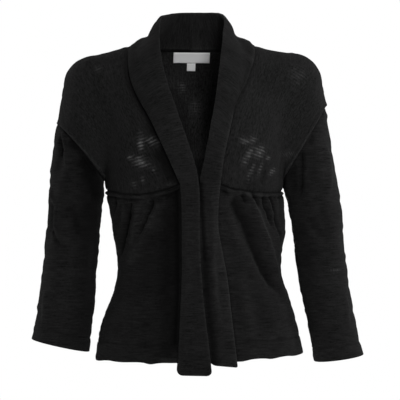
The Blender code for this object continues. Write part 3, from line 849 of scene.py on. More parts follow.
PATHS["front_skirt_left"] = """
10.5 -13 -0.56 0.08 0.3 56 -222 64 -246 78 -272 92 -306 110 -340 128 -368 144 -388
5.5 9 0.42 0.1 0.4 80 -221 90 -243 102 -272 112 -297 123 -325 137 -352
12 0 -0.18 0.2 0.1 58 -280 64 -340 72 -400 82 -470
3 -5.5 -0.62 0.1 0.5 69 -217 76 -231 80 -240
3 4.2 0.5 0.1 0.5 66 -216 80 -222 90 -234
3 -6 -0.62 0.08 0.5 85 -217 92 -231 99 -245
3.2 -7 -0.6 0.08 0.5 106 -222 106 -233 114 -252 118 -266 124 -280
3 4 0.42 0.1 0.5 112 -224 117 -242 124 -268
3.2 -6 -0.6 0.08 0.5 116 -221 123 -245 127 -263 134 -282 136 -304
3 -4.4 -0.35 0.1 0.5 41 -209 48 -226
9 4.6 0.12 0.2 0.4 46 -232 54 -270 68 -322
16 -4.5 -0.12 0.3 0.3 74 -330 92 -390 104 -450
14 3.6 0.06 0.3 0.3 60 -330 72 -390 80 -450
"""
print("pieces with creases:", len(PATHS))

# %% Creases of the sleeves
PATHS["sleeve_right"] = """
3.2 3.6 0.4 0.2 0.4 -208 -112 -208 -134 -206 -153 -203 -171 -197 -192
4 -2.4 -0.3 0.2 0.4 -214 -128 -214 -150 -211 -172
8 -3.6 -0.66 0.1 0.1 -200 -133 -186 -147 -169 -164 -153 -186
15 -6 -0.68 0.15 0.3 -184 -158 -169 -184 -160 -214 -158 -246
16 -2 -0.22 0.2 0.4 -166 -225 -164 -275 -168 -310
4 3.6 0.35 0.2 0.3 -225 -205 -225 -227 -221 -240 -221 -270 -219 -292
4 -3.4 -0.3 0.2 0.4 -226 -276 -218 -293 -205 -306
7 -4.4 -0.28 0.2 0.4 -201 -233 -190 -254 -185 -279 -169 -290
5 3 0.25 0.3 0.3 -236 -368 -237 -412 -239 -432
"""
PATHS["sleeve_left"] = """
5 3.6 0.2 0.2 0.4 205 -140 212 -186 213 -232
16 0 0.2 0.1 0.3 196 -120 202 -170 208 -250
4.5 -6.6 -0.6 0.1 0.3 167 -150 168 -175 167 -205 167 -236
10 -3 -0.35 0.1 0.4 156 -172 157 -205 160 -240
13 -2 -0.25 0.1 0.4 184 -130 182 -175 184 -232
5 -3.4 -0.2 0.2 0.4 186 -121 180 -148
9 -3 -0.18 0.2 0.4 194 -228 205 -270 213 -309
7 -3.6 -0.22 0.2 0.4 176 -252 194 -281 211 -296
6 2.6 0.2 0.3 0.3 236 -370 241 -405 243 -438
"""
print("pieces with creases:", len(PATHS))

# %% Creases of the collar and the bands
PATHS["collar_band_left"] = """
6 -3.2 -0.48 0.15 0.3 87 -10 76 -43 67 -66 55 -91 42 -114
4 -3 -0.72 0.05 0.05 3 -200 6 -240 8 -280 11 -325
7.5 -3 -0.62 0.05 0.01 11 -315 14 -370 18 -420 23 -486
5 2.8 0.28 0.1 0.3 23 -222 24 -280 26 -360 33 -430
"""
PATHS["collar_band_right"] = """
7 1.2 0.1 0.2 0.3 -16 -240 -15 -340 -14 -440
"""
print("pieces with creases:", len(PATHS))

# %% Creases of the yokes
PATHS["front_yoke_right"] = """
3 2.6 0.25 0.3 0.3 -155 -174 -147 -184
2.2 -2.8 -0.45 0.3 0.3 -153 -181 -146 -188
2.6 2.2 0.2 0.3 0.3 -149 -188 -143 -194
9 -0.6 -0.55 0.2 0.05 -66 -150 -52 -176 -38 -204
22 -1 -0.3 0.4 0.1 -82 -95 -66 -130 -52 -165 -40 -200
"""
PATHS["front_yoke_left"] = """
30 0 0.16 0.1 0.1 135 -60 155 -100 160 -150
3.5 2 0.3 0.3 0.3 155 -165 144 -186
5 -2.2 -0.15 0.3 0.2 84 -176 79 -196 72 -212
5 -2 -0.12 0.3 0.2 106 -180 101 -208
"""
# Painted shadow inside the back along the collar's free edge, and painted light beside it; these
# rows have no rise.
PATHS["back_inside_painted_light"] = """
9 0 -0.3 0.1 0.1 -30 -40 -22 -60 -13 -90 -3 -120 6 -150
13 0 0.9 0.3 0.05 4 -40 10 -70 14 -110 15 -165
"""
PATHS["back_yoke"] = """
14 -3 -0.18 0.3 0.4 -60 -60 -84 -110 -96 -170
14 -3.2 -0.18 0.3 0.4 66 -50 86 -105 94 -160
9 -2.6 -0.2 0.3 0.4 -120 -130 -132 -160 -134 -190
9 -2.8 -0.2 0.3 0.4 118 -120 130 -155 136 -190
18 1.8 0.05 0.3 0.4 0 -40 4 -120 -2 -190
"""
print("pieces with creases:", len(PATHS))

# %% [markdown]
# ## Edges
#
# The cloth dips where a seam pulls it in, a line of stitching presses it flat, and an edge
# that is cut off across the knit rolls.  All of these follow an edge of their piece.  Each
# row names the pieces it is for and the edge, and gives how far the line is from that edge,
# its width, its rise in millimetres, and the shade or highlight painted into its colour: a
# seam's or a crevice's painted shadow, or a painted highlight on a rolled edge.  The rises of
# a few millimetres right on a border close the slit that light would come through.  Two
# more tables are for what varies along the edge: the yoke's rolled edge over the sleeve,
# and the ridge and the dip that the gathers pinch in at the waist seam, each with its painted
# shade or highlight as well.

# %% Lines that follow an edge
CUFF_HEM, HEM_DEPTH = 22.0, 28.0
# A row gives the pieces and the edge, and then the place, width, rise and painted shade.
RIMS = f"""
yoke bottom 0 2 0 -0.45
yoke bottom 0 2.6 -1.8 0
yoke bottom 9 6 0.9 0
yoke top 0 2 -0.8 0
front_yoke left 0 6 -1.2 0
front_yoke left 0 0.45 1.5 0
sleeve bottom 0 2.5 0 -0.4
sleeve bottom 0 6 -2.4 0
sleeve bottom 0 0.45 2 0
sleeve left 0 2 -0.7 0
sleeve right 0 2 -0.7 0
sleeve top {CUFF_HEM} 1.2 0 -0.3
sleeve top {CUFF_HEM} 1.4 -0.6 0
skirt bottom 0 1.3 -2 0
skirt bottom 8 1.8 -1.6 0
front_skirt_right bottom 0 1.5 0 -0.75
front_skirt_left bottom 0 1.5 0 -0.5625
back_skirt bottom 0 1.5 0 -0.75
skirt left 0 2 -0.3 0
skirt right 0 2 -0.8 0
front_skirt left 0 0.45 1 0
front_skirt_right left 0 3 0 -0.5
front_skirt_left left 0 3 0 -0.3
skirt top {HEM_DEPTH} 1.2 0 -0.3
skirt top {HEM_DEPTH} 1.4 -0.6 0
collar top 1.5 1.8 0 0.25
collar_band_right bottom 2.2 2.4 0 0.25
collar_band_left bottom 2.2 2.4 0 0.4
collar_band_right bottom 0 1.6 0 -0.75
collar_band_left bottom 0 1 0 -0.3
"""
ROLLED = """
yoke right 3.2 2.6 2.2 0
yoke right 2.4 1.8 0 0.5
back_yoke left 3.2 2.6 1.7 0
"""
PINCHED = """
skirt bottom 3.8 2 3.4 0
skirt bottom 4 2 0 0.5
front_skirt_right bottom 8.4 2 0 -0.6
front_skirt_left bottom 8.4 2 0 -0.45
back_skirt bottom 8.4 2 0 -0.6
"""


def line_at(distance, place, width):
    """1 on a line at some distance from an edge, and nothing away from it."""
    return np.exp(-(((distance - place) / width) ** 2))


def rims_on(name, cloth, rims=RIMS, share=1.0):
    """The rise of the lines along one piece's edges, and their painted shade and highlight."""
    rise, painted_shading = np.zeros(cloth.grid.shape[:2]), np.ones(cloth.grid.shape[:2])
    for part, edge, *sizes in (row.split() for row in rims.strip().splitlines()):
        if part in name:
            place, width, up, shade = map(float, sizes)
            near = line_at(getattr(cloth, edge), place, width) * share
            rise += up * near
            painted_shading *= 1 + shade * near
    return rise, painted_shading


def placed(grid, cloth, lift, amounts, thickness):
    """The middle of a wall: its borders let out, and its outer side raised by the lift."""
    return let_out(grid, amounts) + cloth.normals * (lift - thickness / 2)[..., None]


print("lines along edges:", len(RIMS.strip().splitlines()))

# %% [markdown]
# ## Thin places
#
# Slub yarn runs thin here and there.  The knit is so open at those places that the cloth
# looks laddered, and pale where light shows through; that paleness is painted light in the
# colour.  The mill leaves them in, because no two garments then look the same.  Each patch
# is a soft ellipse, and the material turns it into rungs of yarn.

# %% Thin places, where the slub left the knit open
Patch = namedtuple("Patch", "x height wide tall lean amount")
PATCHES = {
    "front_yoke_right": table(Patch, """
-88 -143 5 13 0 0.75
-72 -139 9 7 -0.4 0.5
-103 -164 5 4 0.5 0.7
-89 -171 9 7.5 -0.3 1
-78 -176 6 5 0 0.45
-67 -184 5 5 0 0.3
-84 -199 3 6 -0.3 0.4
-97 -206 3.5 5 0 0.35
-152 -23 8 6 0 0.2
"""),
    "front_yoke_left": table(Patch, """
73 -139 7 5 -0.3 0.7
85 -137 6 5.5 0 0.5
80 -159 5 8 0.5 0.75
97 -156 9 9 0.2 0.7
73 -169 5 6 0 0.5
84 -188 3 13 0.35 0.6
98 -183 3 12 0.35 0.45
120 -186 4.5 5 0.5 0.7
112 -165 3.5 4 0 0.55
148 -158 12 8 0 0.25
163 -33 13 14 0 0.25
"""),
    "sleeve_left": table(Patch, """
223 -341 7 1.6 0 0.7
"""),
    "back_yoke": table(Patch, """
-12 -44 6 9 0 0.5
10 -78 8 12 0 0.45
-70 -120 14 9 0.3 0.3
48 -150 10 12 0.2 0.25
"""),
}


def thin_places(name, grid):
    """How open the knit is at each point, from 0 to 1."""
    total = np.zeros(grid.shape[:2])
    for patch in PATCHES.get(name, ()):
        up = grid[..., 2] - patch.height
        off = grid[..., 0] - patch.x - patch.lean * up
        near = np.exp(-((off / patch.wide) ** 2) - (up / patch.tall) ** 2)
        total = np.maximum(total, patch.amount * near)
    return total


print("thin places:", {name: len(rows) for name, rows in PATCHES.items()})

# %% The yokes between their seams
YOKE_STEP, BACK_YOKE_STEP = 1.7, 2.2
yoke_grids = {}
for side in SIDES:
    neck_edge = seams["neck", side].flipped()
    outer_edge = seams["side", side] + seams["armhole", side, "front"]
    yoke_grids[f"front_yoke_{side}"] = yoke_grid(
        seams["empire", side], seams["shoulder", side], neck_edge, outer_edge, YOKE_STEP
    )
right, left = (seams["shoulder", side] for side in SIDES)
yoke_grids["back_yoke"] = yoke_grid(
    seams["empire", "back"],
    right.flipped() + seams["neck", "back"] + left,
    seams["side", "right"] + seams["armhole", "right", "back"],
    seams["side", "left"] + seams["armhole", "left", "back"],
    BACK_YOKE_STEP,
)
print("points:", {name: grid.shape[:2] for name, grid in yoke_grids.items()})

# %% [markdown]
# ## How the yokes are set
#
# On the real cardigan the yokes are sewn to each other first and hang from the shoulder
# seam, which sits a little above or below the wearer's own shoulder line.  The table gives
# that height along the seam.  The yoke's outer edge is left to roll over the sleeve.

# %% Build the yokes
BODY_CLOTH = 1.7
ROLLED_EDGE = 1.2
FRONT_LET_OUT = (5.0, -0.1, 0.6, 0.8)
BACK_LET_OUT = (-0.1, -0.1, 0.6, 1.6)
Shade = namedtuple("Shade", "whole low width")
# Painted shadow on the front yokes beside the collar's seam: a darkening of the whole yoke, how
# much deeper it gets low down, and its width.
PAINTED_COLLAR_SHADOW = {"right": Shade(0.92, 0.55, 8.0), "left": Shade(1.0, 0.1, 3.0)}
SHOULDER_SET = {
    "right": table(Place, """
99 -4.5
125 -3.8
150 -2.4
180 -2
217 -1
"""),
    "left": table(Place, """
99 -2
115 -2.6
130 -0.8
150 1.6
165 3
213 2.4
"""),
}


def shoulder_set(cloth):
    """How far the cloth by the shoulder seam is raised off the figure."""
    out = np.abs(cloth.grid[..., 0])
    heights = [read(SHOULDER_SET[side], "height", out, "x") for side in SIDES]
    raised = np.where(cloth.grid[..., 0] < 0, *heights)
    return raised * line_at(cloth.top, 0, 16) * smoothstep(90, 99, out)


for number, (name, grid) in enumerate(yoke_grids.items()):
    cloth = measured(grid, grid * [1, 1, 0])._replace(normals=unit(slope(grid)))
    back = name == "back_yoke"
    lift, painted_shading = paths_on(name, cloth)
    edge_rise, edge_shading = rims_on(name, cloth)
    # The outer edge rolls over the sleeve, but not along the side seam below it.
    past_side = smoothstep(10, 26, cloth.bottom) * (0.3 + 0.7 * smoothstep(10, 50, cloth.top))
    roll_rise, roll_shading = rims_on(name, cloth, ROLLED, past_side)
    lift += edge_rise + roll_rise + shoulder_set(cloth)
    painted_shading *= edge_shading * roll_shading
    # The inside is painted lighter; inside the back yoke that painted light varies, with a painted
    # shadow along the collar's free edge.
    inside = INSIDE_PAINTED_LIGHT
    if back:
        inside = INSIDE_PAINTED_LIGHT * paths_on("back_inside_painted_light", cloth)[1]
    else:
        # Painted shadow beside the collar's seam, where the standing collar shades the yoke.
        shade = PAINTED_COLLAR_SHADOW[name.rsplit("_", 1)[-1]]
        darker = 0.35 + shade.low * smoothstep(20, -90, grid[..., 2])
        painted_shading *= shade.whole * (1 - darker * line_at(cloth.left, 0, shade.width))
    flow = flowing("yoke", number, cloth.along, cloth.across)
    lift += flow * smoothstep(0, 10, np.minimum(cloth.left, cloth.top))
    half = half_wall(BODY_CLOTH, (cloth.left, cloth.right), ROLLED_EDGE)
    middle = placed(grid, cloth, lift, BACK_LET_OUT if back else FRONT_LET_OUT, BODY_CLOTH)
    marks = {"thin": thin_places(name, grid), "upright": np.ones(grid.shape[:2]), "painted_shading": painted_shading}
    flat = (evened(cloth.across, 0), evened(cloth.along, 1))
    shift = pattern_at("yoke", number)
    wall_piece(name, middle, cloth.normals, half, flat, shift, marks, inside)

# %% [markdown]
# ## Sleeves
#
# A sleeve is cut flat and sewn into a tube.  This one starts on the slanted armhole and ends
# at a tilted cuff, so its rows fan out.  Each column keeps one angle round the arm, and each
# row is a share of the way down.  Its creases wrap round the arm, so the table gives their
# angles, with 0 outward and -90 in front, and the heights between which they run.

# %% The arm's sections as a surface
CUFF_CLOTH = 2.6


def arm_section(side, turn, height):
    arm = ARMS[side]
    x = read(arm, "centre", height) + read(arm, "half_width", height) * np.cos(turn)
    y = read(arm, "forward", height) + read(arm, "half_depth", height) * np.sin(turn)
    return np.stack([SIDES[side] * x, y, height], axis=-1)


def arm_turn(side, points):
    """The angles of points on or near the arm, the underarm's first."""
    arm, (x, y, z) = ARMS[side], points.T
    along = (y - read(arm, "forward", z)) / read(arm, "half_depth", z)
    across = (SIDES[side] * x - read(arm, "centre", z)) / read(arm, "half_width", z)
    turn = np.unwrap(np.arctan2(along, across))
    return turn - 2 * math.pi * round((turn[0] + math.pi) / (2 * math.pi))


print("the cuff's section:", arm_section("left", np.zeros(1), np.full(1, -480.0)))

# %% Creases that wrap round the arms
Crease = namedtuple("Crease", "turn top low spread rise")
CREASES = {
    "right": table(Crease, """
-45 -122 -200 14 -5
-30 -225 -300 14 -4.5
-92 -245 -300 18 -3
-150 -270 -390 22 -3.5
75 -150 -270 20 -4
130 -240 -370 22 -3.5
15 -330 -420 24 2
"""),
    "left": table(Crease, """
-48 -140 -215 14 4
-82 -170 -250 17 -3.5
-25 -260 -340 18 -3
-140 -250 -380 22 -3.5
70 -140 -260 20 -4
125 -250 -390 22 -3.5
10 -370 -450 24 2
"""),
}


def crease_rise(creases, turn, height):
    total = np.zeros_like(height)
    for crease in creases:
        off = turn - math.radians(crease.turn)
        off = (off + math.pi) % (2 * math.pi) - math.pi
        share = (height - crease.top) / (crease.low - crease.top)
        fade = smoothstep(-0.15, 0.3, share) * (1 - smoothstep(0.6, 1.15, share))
        total += crease.rise * fade * np.exp(-((off / math.radians(crease.spread)) ** 2))
    return total


# %% The sleeve's grid
def sleeve_grid(side):
    ring = seams["armhole", side, "front"] + seams["armhole", side, "back"].flipped()
    steps = ring.stops[-1]
    round_it = run_of(ring.points)[-1]
    at = places(round_it, 2.0, ring.stops[1:-1] * round_it / steps) * steps / round_it
    points = ring.at(at)
    z = points[:, 2]
    turn = arm_turn(side, points)
    cuff = CUFFS[side]
    even = np.linspace(turn[0], turn[-1], len(turn))
    down = z.mean() - cuff.height
    rows = places(down, 1.8, (down - CUFF_HEM,)) / down
    turns = turn[:, None] + (even - turn)[:, None] * smoothstep(0, 0.5, rows)
    low = cuff.height + cuff.tilt * np.cos(turns)
    heights = z[:, None] + (low - z[:, None]) * rows
    off_section = points - arm_section(side, turn, z)
    fade = 1 - smoothstep(0, 0.25, rows)
    grid = arm_section(side, turns, heights) + off_section[:, None] * fade[None, :, None]
    return grid, turns, heights


def turned_from_light(cloth, heights):
    """Painted shade on the wearer's right sleeve, darker on its side towards the body."""
    inward = cloth.normals[..., 0] - 2 * (cloth.normals[..., 1] > 0.3)
    low = 0.13 * smoothstep(-260, -340, heights)
    dark = 0.8 + low - 0.45 * smoothstep(-0.25, 0.75, inward)
    return dark * (1 - 0.5 * smoothstep(0.6, 1, inward))


# %% Build the sleeves
for number, side in enumerate(SIDES):
    name = f"sleeve_{side}"
    grid, turns, heights = sleeve_grid(side)
    cloth = measured(grid, grid - grid.mean(axis=0))
    lift = crease_rise(CREASES[side], turns, heights) * smoothstep(0, 25, cloth.bottom)
    path_rise, painted_shading = paths_on(name, cloth)
    edge_rise, edge_shading = rims_on(name, cloth)
    # Painted shade in the creases' hollows and painted highlight on their ridges, from their lift.
    painted_shading *= (1 + 0.05 * lift) * edge_shading
    if side == "right":
        painted_shading *= turned_from_light(cloth, heights)
    lift += path_rise * smoothstep(0, 8, cloth.bottom) + edge_rise
    lift += flowing("sleeve", number, cloth.along, -heights)
    thickness = BODY_CLOTH + (CUFF_CLOTH - BODY_CLOTH) * (cloth.top < CUFF_HEM)
    half = half_wall(thickness, (cloth.top,), 1.2)
    middle = placed(grid, cloth, lift, (0.2, 0.2, 1.8, 0), BODY_CLOTH)
    flat = (turns * column(ARMS[side], "half_width").mean(), heights)
    marks = {"thin": thin_places(name, grid) * (cloth.normals[..., 1] < 0), "painted_shading": painted_shading}
    shift = pattern_at("sleeve", number)
    wall_piece(name, middle, cloth.normals, half, flat, shift, marks)

# %% [markdown]
# ## Skirts
#
# The lower body hangs from the high waist seam.  It is cut wider than the seam and gathered
# into it.  A rolled ridge follows the seam, and the fullness opens out below it in folds.
# The back's folds are made up, because the photograph hides them.  Each is a straight line
# from the seam downward, with a width and a rise.

# %% The folds of the lower body
Fold = namedtuple("Fold", "x_top top x_low low width rise")
BACK_FOLDS = table(Fold, """
-108 -216 -122 -350 10 -6
-70 -216 -78 -420 15 5
-42 -216 -46 -330 9 -6
-10 -216 -6 -440 16 -6
24 -216 30 -360 11 5
52 -216 62 -400 11 -6
92 -216 112 -420 14 5
122 -216 138 -330 9 -6
""")
BACK_GATHERS, GATHER_DEPTH, GATHER_END = 14, 2.2, 0.3
FRONT_WAVES, BACK_WAVES, WAVE_DEPTH = 2.5, 6, 1.5
HEM_CLOTH = 2.8


def fold_rise(folds, points):
    x, z = points[..., 0], points[..., 2]
    total = np.zeros_like(x)
    for fold in folds:
        share = (z - fold.top) / (fold.low - fold.top)
        line = fold.x_top + (fold.x_low - fold.x_top) * share
        fade = smoothstep(-0.12, 0.15, share) * (1 - smoothstep(0.45, 1.1, share))
        total += fold.rise * fade * np.exp(-(((x - line) / fold.width) ** 2))
    return total


print("folds of the back:", len(BACK_FOLDS))

# %% The skirt's sections as a surface
def skirt_sizes(x, y, height):
    half = np.where(x < 0, read(SKIRT, "right", height), read(SKIRT, "left", height))
    depth = np.where(y < 0, read(SKIRT, "front", height), read(SKIRT, "back", height))
    return half, depth


def skirt_section(turn, height):
    """Turn runs from the wearer's right, by the front, to the left."""
    across, along = -np.cos(turn), -np.sin(turn)
    half, depth = skirt_sizes(across, along, height)
    power = 2 / SKIRT_SQUARENESS
    x = half * np.sign(across) * np.abs(across) ** power
    y = depth * np.sign(along) * np.abs(along) ** power
    return np.stack([x, y, height], axis=-1)


def skirt_turn(points):
    x, y, z = points.T
    half, depth = skirt_sizes(x, y, z)
    power = SKIRT_SQUARENESS / 2
    across = np.sign(x) * np.abs(x / half) ** power
    along = np.sign(y) * np.abs(y / depth) ** power
    return np.unwrap(np.arctan2(-along, -across))


def skirt_grid(top, turns, step):
    """Columns that fall from the seam to the hem, without their folds."""
    z = top[:, 2]
    hem = read(HEM, "height", top[:, 0], "x")
    down = (z - hem).mean()
    rows = places(down, step, (down - HEM_DEPTH,)) / down
    off_section = top - skirt_section(turns(z), z)
    heights = z[:, None] + (hem - z)[:, None] * rows
    grid = np.stack([skirt_section(turns(h), h) for h in heights.T], axis=1)
    return grid + off_section[:, None] * (1 - smoothstep(0, 0.2, rows))[None, :, None], rows


def front_turns(side, first):
    """Turns of the columns at any height, from the band's seam to the side seam."""

    def turns(height):
        table = BAND_SEAM[side]
        x = read(table, "x", height[0])
        half = read(SKIRT, "right" if x < 0 else "left", height[0])
        band = math.acos(-math.copysign(abs(x / half) ** (SKIRT_SQUARENESS / 2), x))
        return first[-1] + (band - first[-1]) * (first - first[-1]) / (first[0] - first[-1])

    return turns


# %% What every skirt has: gathers at the seam, waves at the hem
# Painted shade: the wearer's right front skirt is made darker all over.
SKIRT_PAINTED_SHADE = {"front_skirt_right": 0.9}


def gathered(cloth, rows, around):
    """The folds and the gathers of the back."""
    size = 1 - smoothstep(0.03, GATHER_END, rows)
    gathers = GATHER_DEPTH * np.sin(BACK_GATHERS * around + 2.0 * np.sin(3 * around)) * size
    return fold_rise(BACK_FOLDS, cloth.grid), gathers


def skirt_surface(name, cloth, rows, number):
    """The lift of a skirt's outer side, and its painted shade and highlight."""
    around = np.linspace(0, 2 * math.pi, len(cloth.grid))[:, None]
    lift, painted_shading = paths_on(name, cloth)
    edge_rise, edge_shading = rims_on(name, cloth)
    painted_shading *= edge_shading
    # Painted shade: darker on the wearer's right front, and on every skirt towards the hem.
    painted_shading *= SKIRT_PAINTED_SHADE.get(name, 1.0) - 0.12 * smoothstep(-300, -420, cloth.grid[..., 2])
    waves = FRONT_WAVES
    if name == "back_skirt":
        folds, gathers = gathered(cloth, rows, around)
        lift += folds + gathers
        # Painted shade in the hollows of the back's folds and gathers, painted highlight on their
        # ridges.
        painted_shading *= 1 + 0.06 * folds + 0.08 * gathers
        waves = BACK_WAVES
    lift += WAVE_DEPTH * np.sin(waves * around) * smoothstep(0.5, 1, rows)
    small = flowing("gathers", number, cloth.along) * (1 - smoothstep(8, 34, cloth.bottom))
    lift += 1.3 * small
    # The small gathers at the seam get painted shade and highlight too.
    painted_shading *= 1 + 0.3 * small
    lift *= smoothstep(2, 9, cloth.bottom) * smoothstep(0, 6, np.minimum(cloth.left, cloth.right))
    pinch = 0.75 + flowing("pinches", number, cloth.along)
    pinch_rise, pinch_shading = rims_on(name, cloth, PINCHED, pinch)
    lift += edge_rise + pinch_rise + flowing("skirt", number, cloth.along, cloth.across)
    return lift, painted_shading * pinch_shading


# %% Build the skirts
FRONT_STEP, BACK_STEP = 1.5, 2.1


def build_skirt(name, seam, turns_of, number, step):
    steps, long = seam.stops[-1], run_of(seam.points)[-1]
    top = seam.at(places(long, step) * steps / long)
    grid, rows = skirt_grid(top, turns_of(skirt_turn(top)), step)
    cloth = measured(grid, grid * [1, 1, 0])
    lift, painted_shading = skirt_surface(name, cloth, rows, number)
    thickness = BODY_CLOTH + (HEM_CLOTH - BODY_CLOTH) * (cloth.top < HEM_DEPTH)
    half = half_wall(thickness, (cloth.top,), 1.3)
    under_band = 0.2 if name == "back_skirt" else 1.5
    middle = placed(grid, cloth, lift, (under_band, 0.2, 0.6, 0), BODY_CLOTH)
    middle[..., 2] += flowing("hem", number, cloth.along) * smoothstep(0.6, 1, rows)
    flat = (cloth.along, grid[..., 2])
    shift = pattern_at("skirt", number)
    wall_piece(name, middle, cloth.normals, half, flat, shift, {"painted_shading": painted_shading})
    return grid


for number, side in enumerate(SIDES):
    grid = build_skirt(
        f"front_skirt_{side}",
        seams["empire", side],
        lambda first: front_turns(side, first),
        number,
        FRONT_STEP,
    )
    seams["band", side] = Seam(grid[0])
whole_back = seams["empire", "back"]
build_skirt("back_skirt", whole_back, lambda first: lambda height: first, 2, BACK_STEP)

# %% [markdown]
# ## Collar and bands
#
# The shawl collar is one long strip for each side, joined at the centre of the back.  It is
# folded double before it is sewn on, so it is thick and springy: it stands up at the neck,
# rolls over the shoulder, and runs on down the front as a band.  Here each half is a strip
# between its seam and the table of its free edge.  The level says which places of the two
# belong together, and the bulge says how far the strip curves out between them.

# %% The line that the collar is sewn to
COLLAR_CLOTH = 4.0
COLLAR_STANDS = 1.9
COLLAR_SHELF = {"right": -0.15, "left": 0.0}
Corner = namedtuple("Corner", "sewn free")
BAND_CORNERS = {"right": Corner(9.0, 9.0), "left": Corner(3.0, 16.0)}
COLLAR_BACK_STEPS, COLLAR_NECK_STEPS = 60, 120


def collar_seam(side):
    """The points that a half of the collar is sewn to, how far along each is, and how far
    along the shoulder is."""
    neck, back = seams["neck", side].points, seams["neck", "back"].points
    half_back = BACK_NECK_STEPS // 2
    back = back[half_back::-1] if side == "right" else back[half_back:]
    band = seams["band", side].parts[0]
    down = (BAND_END[side] - band[-1, 2]) / (band[-1, 2] - band[-4, 2])
    end = band[-1] + (band[-1] - band[-4]) * down
    front = evenly(neck, COLLAR_NECK_STEPS)[1:]
    line = np.concatenate([evenly(back, COLLAR_BACK_STEPS), front, band[1:], end[None]])
    run = run_of(line)
    at = places(run[-1], 1.7, close=(False, True))
    return resampled(line, at, run), at, run[COLLAR_BACK_STEPS]


def levels(sewn, at, shoulder):
    """The level of each place along the seam, which the table of the free edge is read by."""
    past = at - shoulder
    start = np.interp(shoulder, at, sewn[:, 2])
    level = sewn[:, 2] + (SHOULDER_LEVEL - start) * (1 - smoothstep(0, 80, past))
    behind = SHOULDER_LEVEL - (BACK_LEVEL - SHOULDER_LEVEL) * past / shoulder
    level = np.minimum.accumulate(np.where(past < 0, behind, level))
    for _ in range(12):
        level[1:-1] = (level[:-2] + 2 * level[1:-1] + level[2:]) / 4
    return level


print("the collar joins its halves", BACK_LEVEL, "mm above the origin")


# %% The collar's grid
def collar_grid(side, sewn, level):
    edge = FREE_EDGE[side]
    free = np.stack([read(edge, name, level, "level") for name in ("x", "y", "height")], 1)
    bulge = read(edge, "bulge", level, "level")[:, None]
    chord = free - sewn
    wide = np.linalg.norm(chord, axis=1).mean()
    across = places(wide, 1.5) / wide
    out = unit(np.cross(np.gradient(sewn + free, axis=0), chord))
    out *= np.sign((out * (unit(sewn * [1, 1, 0]))).sum(-1, keepdims=True))
    soft = sewn.copy()
    for _ in range(60):
        out[1:-1] = unit(out[:-2] + 2 * out[1:-1] + out[2:])
        soft[1:-1] = (soft[:-2] + 2 * soft[1:-1] + soft[2:]) / 4
    roll = (4 * across * (1 - across)) ** 0.6
    hollow = line_at(across, 0.48, 0.2) - COLLAR_SHELF[side] * line_at(across, 0.14, 0.1)
    profile = bulge * np.where(bulge > 0, roll, hollow)
    softened = (smoothstep(0, 0.3, across) * (1 - across))[:, None]
    grid = sewn[:, None] + chord[:, None] * across[:, None]
    grid = grid + (soft - sewn)[:, None] * softened + out[:, None] * profile[..., None]
    return grid, out


def collar_painted_shading(side, cloth):
    """The shade and light painted on the collar, apart from its creases and edges: a painted
    highlight along the left half's free edge up high, and painted shade higher on the right
    half and low down on both.
    """
    z = cloth.grid[..., 2]
    edge, high = line_at(cloth.top, 0, 20), smoothstep(-170, -110, z)
    low = 0.14 * smoothstep(-390, -460, z)
    if side == "left":
        return (1 + 0.2 * edge * high) * (1 - low)
    return (1 - 0.05 * edge * high) * (1 - 0.12 * smoothstep(-150, -90, z) - low)


# %% Build the collar
for number, side in enumerate(SIDES):
    name = f"collar_band_{side}"
    sewn, at, shoulder = collar_seam(side)
    grid, out = collar_grid(side, sewn, levels(sewn, at, shoulder))
    cloth = measured(grid, np.broadcast_to(out[:, None], grid.shape))
    lift, painted_shading = paths_on(name, cloth)
    painted_shading *= rims_on(name, cloth)[1] * collar_painted_shading(side, cloth)
    lift += flowing("collar", number, cloth.across, cloth.along) * smoothstep(0, 10, cloth.bottom)
    # It stands off its seam in front, and lies close to the yoke over the shoulder.
    in_front = smoothstep(shoulder, shoulder + 60, at)[:, None]
    lift += COLLAR_STANDS * in_front * (1 - smoothstep(6, 20, cloth.bottom))
    lift -= 2.5 * line_at(cloth.bottom, 0, 10) * line_at(at, shoulder, 30)[:, None]
    half = half_wall(COLLAR_CLOTH, (cloth.right, cloth.top, cloth.bottom), 2.0)
    # Its lower edge reaches in under the yoke, so that no light comes through the seam.
    under = 3.2 - 1.8 * smoothstep(shoulder - 30, shoulder, at) + 2.6 * line_at(at, shoulder, 26)
    middle = placed(grid, cloth, lift, (0, 0, under[:, None], 0), COLLAR_CLOTH)
    # The corners of the band's end are rounded.
    for near, size in zip((cloth.bottom, cloth.top), BAND_CORNERS[side]):
        off = np.clip(size - near, 0, size)
        middle[..., 2] += (size - np.sqrt(size**2 - off**2)) * (1 - smoothstep(0, 40, cloth.right))
    flat = (cloth.across, evened(cloth.along, 1))
    shift = pattern_at("collar", number)
    # The inside of the collar is painted a little lighter, as painted light.
    wall_piece(name, middle, cloth.normals, half, flat, shift, {"painted_shading": painted_shading}, 1.15)

# %% [markdown]
# ## Label
#
# A woven ribbon is stitched inside the back neck, with a small tab for the size under it.
# Both are thin strips laid just inside the back of the neck.  They are left plain.

# %% Build the label and the size tab
Tab = namedtuple("Tab", "name x top width drop")
TABS = (Tab("neck_label", 2, 12, 60, 16.5), Tab("size_tab", 2, -4.9, 14, 12.5))
CLOTH_WALL, LABEL_CLEAR, LABEL_WALL = 2.0, 0.8, 0.9
for tab in TABS:
    across = tab.x + tab.width * np.linspace(-0.5, 0.5, 41)
    down = tab.top - tab.drop * np.linspace(0, 1, 13)
    grid = settle([[(x, TORSO[-2].back, z) for z in down] for x in across], (0, 1, 0))
    normals = unit(slope(grid))
    grid = grid - normals * (CLOTH_WALL + LABEL_CLEAR + LABEL_WALL / 2)
    cloth = measured(grid, normals)
    half = half_wall(LABEL_WALL, (cloth.left, cloth.right, cloth.top, cloth.bottom), 0.5)
    flat = (cloth.along, cloth.across)
    wall_piece(tab.name, grid, normals, half, flat, pattern_at("label", 0))

# %% [markdown]
# ## Materials
#
# A material is a small network of nodes that works out one colour and one bump for each
# place on the cloth.  Written out node by node it is hard to read.  So one class wraps an
# output of a node and lets Python's own signs add the nodes of a sum.

